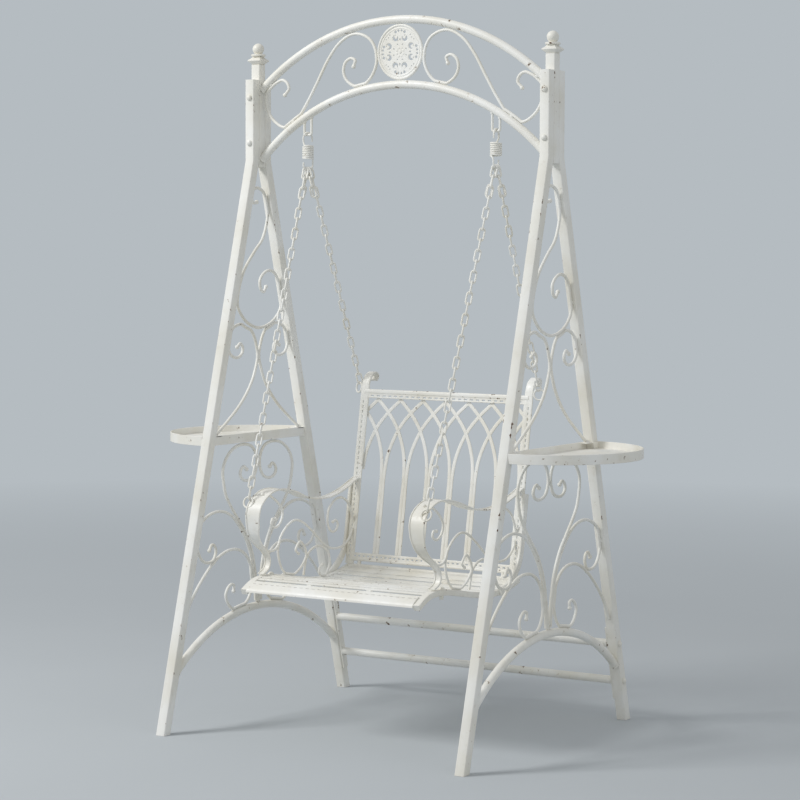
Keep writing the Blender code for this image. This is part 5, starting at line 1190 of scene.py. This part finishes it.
SEAT_BAR_WIDTH = 0.022
SEAT_BAR_CORNER_R = 0.0022
REAR_BAR_SHARE = 0.9
FRONT_STRIP = (
    (-0.3520, 0.4640), (-0.3630, 0.4592), (-0.3740, 0.4530), (-0.3815, 0.4478), (-0.3855, 0.4430),
    (-0.3865, 0.4380),
)
LUG_Y = -0.245
LUG_R = 0.0062
LUG_LENGTH = 0.013
LUG_SHANK = 0.004
LUG = (
    (LUG_R * 0.3, 0.0015), (LUG_R * 0.8, 0.0008), (LUG_R, -0.001), (LUG_R, -LUG_LENGTH + 0.003),
    (LUG_R * 0.8, -LUG_LENGTH + 0.0006), (LUG_R * 0.3, -LUG_LENGTH),
)
FRONT_STRIP_THICK = 0.0040
FRONT_STRIP_LAP = 0.001
DASH_PITCH = 0.021
DASH_LENGTH = 0.012
DASH_HEIGHT = 0.0028
DASH_FROM_TOP = 0.0105
WEB_LAP = 0.0024
FRONT_WEB_LAP = 0.0050
WEB_CORNER_R = 0.0003
seat_paint = enamelled_iron("antique white enamel on flat seat bar", 0.55, 0.5)


def slotted(path, normal, across, low, high, slot_low, slot_high, pitch, length, thick):
    """A strip along an edge line with a row of real slots: a band above them, one below them, and the
    webs between, which overlap both. path holds the two ends of the line, and low, high, slot_low and
    slot_high are distances from it along across."""
    reach = np.linalg.norm(path[1] - path[0])
    way = (path[1] - path[0]) / reach
    parts = []
    for a, b in ((low, slot_low), (slot_high, high)):
        outline = rolled(thick, b - a, min(thick, b - a) * 0.3, 3)
        parts.append(swept(path + across * (a + b) / 2, normal, outline))
    count = int((reach - 2 * length) / pitch)
    first = (reach - (count - 1) * pitch - length) / 2
    begins = np.concatenate([[0], first + length + np.arange(count) * pitch])
    finishes = np.concatenate([first + np.arange(count) * pitch, [reach]])
    middle = path[0] + across * (slot_low + slot_high) / 2
    web = rolled(thick * 0.92, slot_high - slot_low + WEB_LAP, WEB_CORNER_R, 2)
    for begin, finish in zip(begins, finishes):
        parts.append(swept([middle + way * begin, middle + way * finish], normal, web))
    return parts


rail_x = BENCH_OUTER_X - SEAT_BAR_WIDTH / 2
rail = rolled(SEAT_BAR_WIDTH, SEAT_BAR_TALL, SEAT_BAR_CORNER_R)
parts = [swept(seat_centre + (turn * rail_x, 0, 0), X_WAY, rail) for turn in (-1, 1)]
fold = smooth(np.array(FRONT_STRIP), 0.002)
fall = along_path(fold)
dash_at = int(np.searchsorted(fall, DASH_FROM_TOP))
dash_end = int(np.searchsorted(fall, DASH_FROM_TOP + DASH_HEIGHT))
strip_end = BENCH_OUTER_X - SEAT_BAR_WIDTH + FRONT_STRIP_LAP
for first, last in ((0, dash_at + 1), (dash_end, len(fold))):
    run = fold[first:last]
    away = unit(np.gradient(run, axis=0))
    inner = run + np.column_stack([away[:, 1], -away[:, 0]]) * FRONT_STRIP_THICK
    profile = np.vstack([run, inner[::-1]])
    parts.append(loft(np.stack([on_side(end, profile) for end in (-strip_end, strip_end)])))
web = (fold[dash_at] + fold[dash_end]) / 2
slope = unit(fold[dash_end] - fold[dash_at])
inward = np.array((slope[1], -slope[0]))
middle = web + inward * FRONT_STRIP_THICK / 2
outline = rolled(DASH_HEIGHT + FRONT_WEB_LAP, FRONT_STRIP_THICK * 0.9, WEB_CORNER_R, 2)
for left in np.arange(-strip_end, strip_end, DASH_PITCH):
    line = [(x, *middle) for x in (left, min(left + DASH_PITCH - DASH_LENGTH, strip_end))]
    parts.append(swept(line, (0, *slope), outline))
lug_top = float(np.interp(LUG_Y, seat_centre[:, 1], seat_centre[:, 2])) + SEAT_BAR_TALL / 2
for turn in (-1, 1):
    parts.append(coach_bolt((turn * rail_x, LUG_Y, lug_top), Z_WAY, SEAT_BAR_TALL + LUG_SHANK))
    under = (turn * rail_x, LUG_Y, lug_top - SEAT_BAR_TALL)
    parts.append(turned(LUG, under, Z_WAY, 20, [0.3] * len(LUG)))
rear_y, rear_z = SEAT_LINE[-1]
rear = [(end, rear_y - SEAT_BAR_WIDTH / 2, rear_z - SEAT_BAR_TALL / 2) for end in (-rail_x, rail_x)]
parts.append(swept(rear, Y_WAY, rolled(SEAT_BAR_WIDTH, SEAT_BAR_TALL * REAR_BAR_SHARE, 0.002)))
piece("seat_frame", "bars", parts, seat_paint, "bench")


# Seat slats
# Flat slats across the seat, close together and narrower round the front bend, ends tucked inside
# the side rails, welded on two runners beneath.

SLAT_GAPS_Y = (
    -0.3525, -0.335, -0.314, -0.283, -0.250, -0.217, -0.184, -0.151, -0.118, -0.085, -0.052, -0.018,
    0.016, 0.052, 0.095, 0.136, 0.1765,
)
SLAT_GAP = 0.0085
WIDE_GAP = 0.0150
WIDE_GAP_AT = 14
SLAT_THICK = 0.004
SLAT_SINK = 0.0012
SLAT_CORNER_R = 0.0009
RUNNER_X = 0.105
RUNNER_WIDTH = 0.016
RUNNER_THICK = 0.006
RUNNER_LAP = 0.0012
line = even(seat_centre + (0, 0, SEAT_BAR_TALL / 2), 0.001)
far = along_path(line)
reach = BENCH_OUTER_X - SEAT_BAR_WIDTH - GAP
cuts = np.interp(SLAT_GAPS_Y, line[:, 1], far)
spare = np.full(len(cuts), SLAT_GAP / 2)
spare[WIDE_GAP_AT] = WIDE_GAP / 2
runner_drop = SLAT_SINK + SLAT_THICK + RUNNER_THICK / 2 - RUNNER_LAP
under = line[(far > cuts[0]) & (far < cuts[-1])][::4] - (0, 0, runner_drop)
runner = rolled(RUNNER_WIDTH, RUNNER_THICK, 0.001, 3)
parts = [swept(under + (turn * RUNNER_X, 0, 0), X_WAY, runner) for turn in (-1, 1)]
for i in range(len(cuts) - 1):
    begin = cuts[i] + spare[i]
    finish = cuts[i + 1] - spare[i + 1]
    at = int(np.searchsorted(far, (begin + finish) / 2))
    way = unit(line[at + 2] - line[at - 2])
    middle = line[at] - np.cross(X_WAY, way) * (SLAT_THICK / 2 + SLAT_SINK)
    slat = np.array([middle - X_WAY * reach, middle + X_WAY * reach])
    parts.append(swept(slat, way, rolled(finish - begin, SLAT_THICK, SLAT_CORNER_R)))
piece("seat_slats", "bars", parts, seat_paint, "bench")


# Backrest frame
# Two flat posts that curl over backwards at the top, a top rail and a bottom rail folded from strip
# and stamped with a row of short slots, and the two scrolls that the back is braced with.

POST_WIDTH = 0.030
POST_SLOTS = (0.0, POST_WIDTH, 0.0110, 0.0142, 0.0165, 0.0090)
POST_THICK = 0.006
POST_CORNER_R = 0.0012
POST_X = BENCH_OUTER_X - POST_WIDTH / 2
BOTTOM_RAIL_TALL = 0.026
TOP_RAIL_ROLL = (0.0092, 0.0010, 0.0120, 0.0150)
TOP_RAIL_SLOTS = (-0.0115, 0.0045, -0.0062, -0.0025, 0.0215, 0.0120, 0.0045)
BOTTOM_RAIL_ROLL = (-0.0085, 0.0, 0.0110, 0.0090)
BOTTOM_RAIL_SLOTS = (-0.0060, 0.0130, 0.0010, 0.0050, 0.0165, 0.0085, 0.0045)
NUB_X = (-0.262, 0.262)
NUB_LENGTH = 0.016
NUB_SIDE = 0.010
NUB_LAP = 0.002
ROLL_ROUNDING = 0.38
ARM_BAR_R = 0.0038
ARM_BAR_X = 0.297
POST_CURL = (
    (0.0, 0.0), (0.003, 0.019), (0.008, 0.038), (0.017, 0.054), (0.032, 0.064), (0.045, 0.067),
    (0.058, 0.061), (0.060, 0.051), (0.051, 0.042),
)
CURL_LAP = 0.012
CURL_TAPER = ((1.0, 1.03), (0.995, 0.88))
REAR_SCROLL = (
    (0.2075, 0.588), (0.200, 0.611), (0.191, 0.631), (0.174, 0.657), (0.140, 0.677), (0.110, 0.677),
    (0.087, 0.667), (0.062, 0.645), (0.056, 0.610), (0.064, 0.588), (0.081, 0.575), (0.104, 0.578),
    (0.114, 0.596), (0.103, 0.609), (0.090, 0.606),
)
back_paint = enamelled_iron("antique white enamel on flat back bar", 0.6, 0.5)


def arm_scroll(turn, knots, rests=(), ends="start"):
    """One thin scroll in the plane below an arm, its ball end first."""
    path = seated(smooth(on_side(turn * ARM_BAR_X, knots)), rests)[::-1]
    if not ends:
        return swept(path, X_WAY, ring_outline(ARM_BAR_R, 12))
    return scroll(path, X_WAY, ARM_BAR_R, BALL_END_R * ARM_BAR_R / BAR_R, ends)


parts = []
foot_z = SEAT_LINE[-1][1] + GAP
tail = (BACK_FOOT[1] - foot_z) / BACK_UP[2]
for turn in (-1, 1):
    x = turn * POST_X
    outer = back_point(turn * BENCH_OUTER_X, np.array((-tail, BACK_HEIGHT)))
    parts += slotted(outer, BACK_REAR, -turn * X_WAY, *POST_SLOTS, POST_THICK)
    curl = back_point(x, BACK_HEIGHT) + on_side(0, POST_CURL)
    path = smooth(np.vstack([[back_point(x, BACK_HEIGHT - CURL_LAP)], curl]), 0.003)
    width = np.interp(path[:, 2], *CURL_TAPER)
    scale = np.column_stack([width, np.ones(len(path))])
    parts.append(swept(path, X_WAY, rolled(POST_WIDTH, POST_THICK, POST_CORNER_R), scale))
    parts.append(arm_scroll(turn, REAR_SCROLL))
for up, roll, bands in (
    (BACK_HEIGHT, TOP_RAIL_ROLL, TOP_RAIL_SLOTS),
    (0, BOTTOM_RAIL_ROLL, BOTTOM_RAIL_SLOTS),
):
    ends = back_point((-POST_X, POST_X), up)
    centre_up, centre_rear, deep, tall = roll
    bar = rolled(deep, tall, min(deep, tall) * ROLL_ROUNDING, 5)
    parts.append(swept(ends + BACK_UP * centre_up + BACK_REAR * centre_rear, BACK_REAR, bar))
    parts += slotted(ends, BACK_REAR, BACK_UP, *bands)
for x in NUB_X:
    foot = back_point(x, -BOTTOM_RAIL_TALL / 2 + NUB_LAP)
    parts.append(swept([foot, foot - BACK_UP * NUB_LENGTH], X_WAY, rolled(NUB_SIDE, NUB_SIDE, 0.003)))
piece("backrest_frame", "bars", parts, back_paint, "bench")


# Backrest tracery
# Seven pointed bays of thin strip laid flat, two strips side by side in each upright: half way up
# they part, bend over and cross each other on the way to the top rail.

STRIP_WIDTH = 0.011
STRIP_THICK = 0.0042
STRIP_CORNER_R = 0.0008
STRIP_TOP_DROP = 0.0085
BAYS = 7
BAY_WIDTH = 0.0834
TRACERY_REAR = 0.0070
CROSSING_OFF = 0.0004
ARCH_BAYS = 1.5
FORK_SHARE = 0.535
TRACERY = ((0, 0), (0.12, 0.28), (0.5, 0.60), (1.0, 0.83), (1.5, 1.0))
grid = BAYS * BAY_WIDTH / 2
low = BOTTOM_RAIL_TALL / 2 + GAP
high = BACK_HEIGHT - STRIP_TOP_DROP
fork = low + (high - low) * FORK_SHARE
half_strip = STRIP_WIDTH / 2
strip_outline = rolled(STRIP_THICK, STRIP_WIDTH, STRIP_CORNER_R, 3)
parts = []


def strip(x, up, rear):
    """A strip along (across, up) points, cut where it is welded behind the posts and the top rail."""
    path = smooth(np.column_stack([x, up]), 0.004)
    path = path[(np.abs(path[:, 0]) < POST_X) & (path[:, 1] < high - 0.001)]
    if len(path) < 3:
        return []
    return [swept(back_point(path[:, 0], path[:, 1], rear), BACK_REAR, strip_outline)]


for i in range(-1, BAYS + 2):
    for way in (1, -1):
        share_x, share_up = np.array(TRACERY).T
        off = half_strip * (1 - share_x / ARCH_BAYS)
        x = i * BAY_WIDTH - grid + way * (share_x * BAY_WIDTH + off)
        up = fork + (high - half_strip - fork) * share_up
        if 0 < i < BAYS:
            x = np.concatenate([[x[0], x[0]], x])
            up = np.concatenate([[low, low + (fork - low) / 2], up])
        parts += strip(x, up, TRACERY_REAR + CROSSING_OFF * way)
piece("backrest_tracery", "strips", parts, back_paint, "bench")


# Arm bands
# Flat strip with raised lips that leaves the back post level, swells over the arm, rolls down in
# front and sweeps back to the seat's corner, with a scroll of thin bar welded inside the roll.

ARM_END_KNOT = 22
ARM_END_LAP = 0.004
ARM_CORE = 0.026
BAND_OUTLINE = (
    (0.0130, -0.0020, 0), (0.0130, 0.0021, 1), (0.0120, 0.0028, 1), (0.0098, 0.0028, 0.6),
    (0.0088, 0.0002, 0), (-0.0088, 0.0002, 0), (-0.0098, 0.0028, 0.6), (-0.0120, 0.0028, 1),
    (-0.0130, 0.0021, 1), (-0.0130, -0.0020, 0),
)
HOOK_X = 0.285
ARM_WIDTHS = (
    0.026, 0.026, 0.028, 0.030, 0.031, 0.032, 0.034, 0.040, 0.047, 0.052, 0.054, 0.054,
    0.054, 0.053, 0.052, 0.049, 0.041, 0.032, 0.026, 0.024, 0.023, 0.023, 0.023, 0.023,
)
HOOK_SCROLL = (
    (-0.306, 0.7275), (-0.285, 0.722), (-0.255, 0.708), (-0.228, 0.689), (-0.209, 0.662), (-0.219, 0.634),
    (-0.246, 0.620), (-0.268, 0.632), (-0.263, 0.647), (-0.250, 0.646),
)
arm_paint = enamelled_iron("antique white enamel on arm strip, handled", 0.6, 0.45)
far = along_path(arm_centre)
knot_far = far[[int(np.linalg.norm(arm_centre[:, 1:] - knot, axis=1).argmin()) for knot in ARM_LINE]]
width = np.interp(far, knot_far, ARM_WIDTHS)
kept = far < knot_far[ARM_END_KNOT] + ARM_END_LAP
outline = np.array(BAND_OUTLINE)
for label, turn in SIDES:
    path = arm_centre[kept] + (turn * (BENCH_OUTER_X - ARM_CORE / 2), 0, 0)
    points, faces, worn = swept(path, X_WAY, outline)
    inner = np.tile(outline[:, 0] * turn < 0, len(path))
    points[inner, 0] -= turn * np.repeat(width[kept] - ARM_CORE, len(outline))[inner]
    rest = [(arm_centre + (turn * HOOK_X, 0, 0), ARM_THICK / 2 + ARM_BAR_R)]
    hook = seated(smooth(on_side(turn * HOOK_X, HOOK_SCROLL)), rest)[::-1]
    parts = [(points, faces, worn), scroll(hook, X_WAY, ARM_BAR_R, BALL_END_R * ARM_BAR_R / BAR_R)]
    piece(f"arm_band_{label}", "strip", parts, arm_paint, "bench")


# Arm scrolls
# Three thin scrolls fill the space under each arm, welded where they cross: a long wave, an oval
# with a curl in it and a fan-shaped one at the back.

LONG_SCROLL = (
    (0.202, 0.575), (0.190, 0.556), (0.172, 0.538), (0.144, 0.524), (0.104, 0.520), (0.066, 0.526),
    (0.029, 0.544), (-0.003, 0.568), (-0.045, 0.598), (-0.092, 0.624), (-0.128, 0.630), (-0.165, 0.617),
    (-0.200, 0.588), (-0.214, 0.563), (-0.232, 0.550), (-0.258, 0.548), (-0.280, 0.554), (-0.300, 0.563),
)
OVAL_SCROLL = (
    (-0.205, 0.577), (-0.216, 0.545), (-0.196, 0.490), (-0.153, 0.462), (-0.098, 0.477), (-0.063, 0.515),
    (-0.070, 0.539), (-0.095, 0.561), (-0.112, 0.550), (-0.120, 0.537), (-0.108, 0.527),
)
FAN_SCROLL = (
    (-0.079, 0.448), (-0.070, 0.482), (-0.059, 0.510), (-0.041, 0.527), (0, 0.538), (0.035, 0.530),
    (0.062, 0.507), (0.069, 0.482), (0.058, 0.456), (0.041, 0.440), (0.011, 0.452), (0.011, 0.467),
    (0.023, 0.475),
)
for label, turn in SIDES:
    shift_x = np.array((turn * ARM_BAR_X, 0, 0))
    post_line = straight([back_point(shift_x[0], -BACK_HEIGHT / 8), back_point(shift_x[0], BACK_HEIGHT)])
    rests = [
        (arm_centre + shift_x, ARM_THICK / 2 + GAP + ARM_BAR_R),
        (seat_centre + shift_x, SEAT_BAR_TALL / 2 + GAP + ARM_BAR_R),
        (post_line, POST_THICK / 2 + GAP + ARM_BAR_R),
    ]
    parts = [arm_scroll(turn, LONG_SCROLL, rests, "")]
    parts += [arm_scroll(turn, knots, rests) for knots in (OVAL_SCROLL, FAN_SCROLL)]
    piece(f"arm_scrolls_{label}", "bar", parts, arm_paint, "bench")


# Arm struts
# A flat bar outside each end of the seat, curved from the back post down to under the side rail.

STRUT_WIDTH = 0.009
STRUT_DEPTH = 0.022
STRUT_CORNER_R = 0.0016
STRUT_LINE = (
    (0.2275, 0.716), (0.2185, 0.665), (0.2115, 0.622), (0.2045, 0.578), (0.1985, 0.545),
    (0.1890, 0.516), (0.172, 0.490), (0.143, 0.464), (0.107, 0.442), (0.072, 0.4305),
)
for label, turn in SIDES:
    x = turn * (BENCH_OUTER_X + GAP + STRUT_WIDTH / 2)
    line = smooth(on_side(x, STRUT_LINE), 0.004)
    bar = swept(line, X_WAY, rolled(STRUT_WIDTH, STRUT_DEPTH, STRUT_CORNER_R))
    piece(f"arm_strut_{label}", "bar", [bar], arm_paint, "bench")
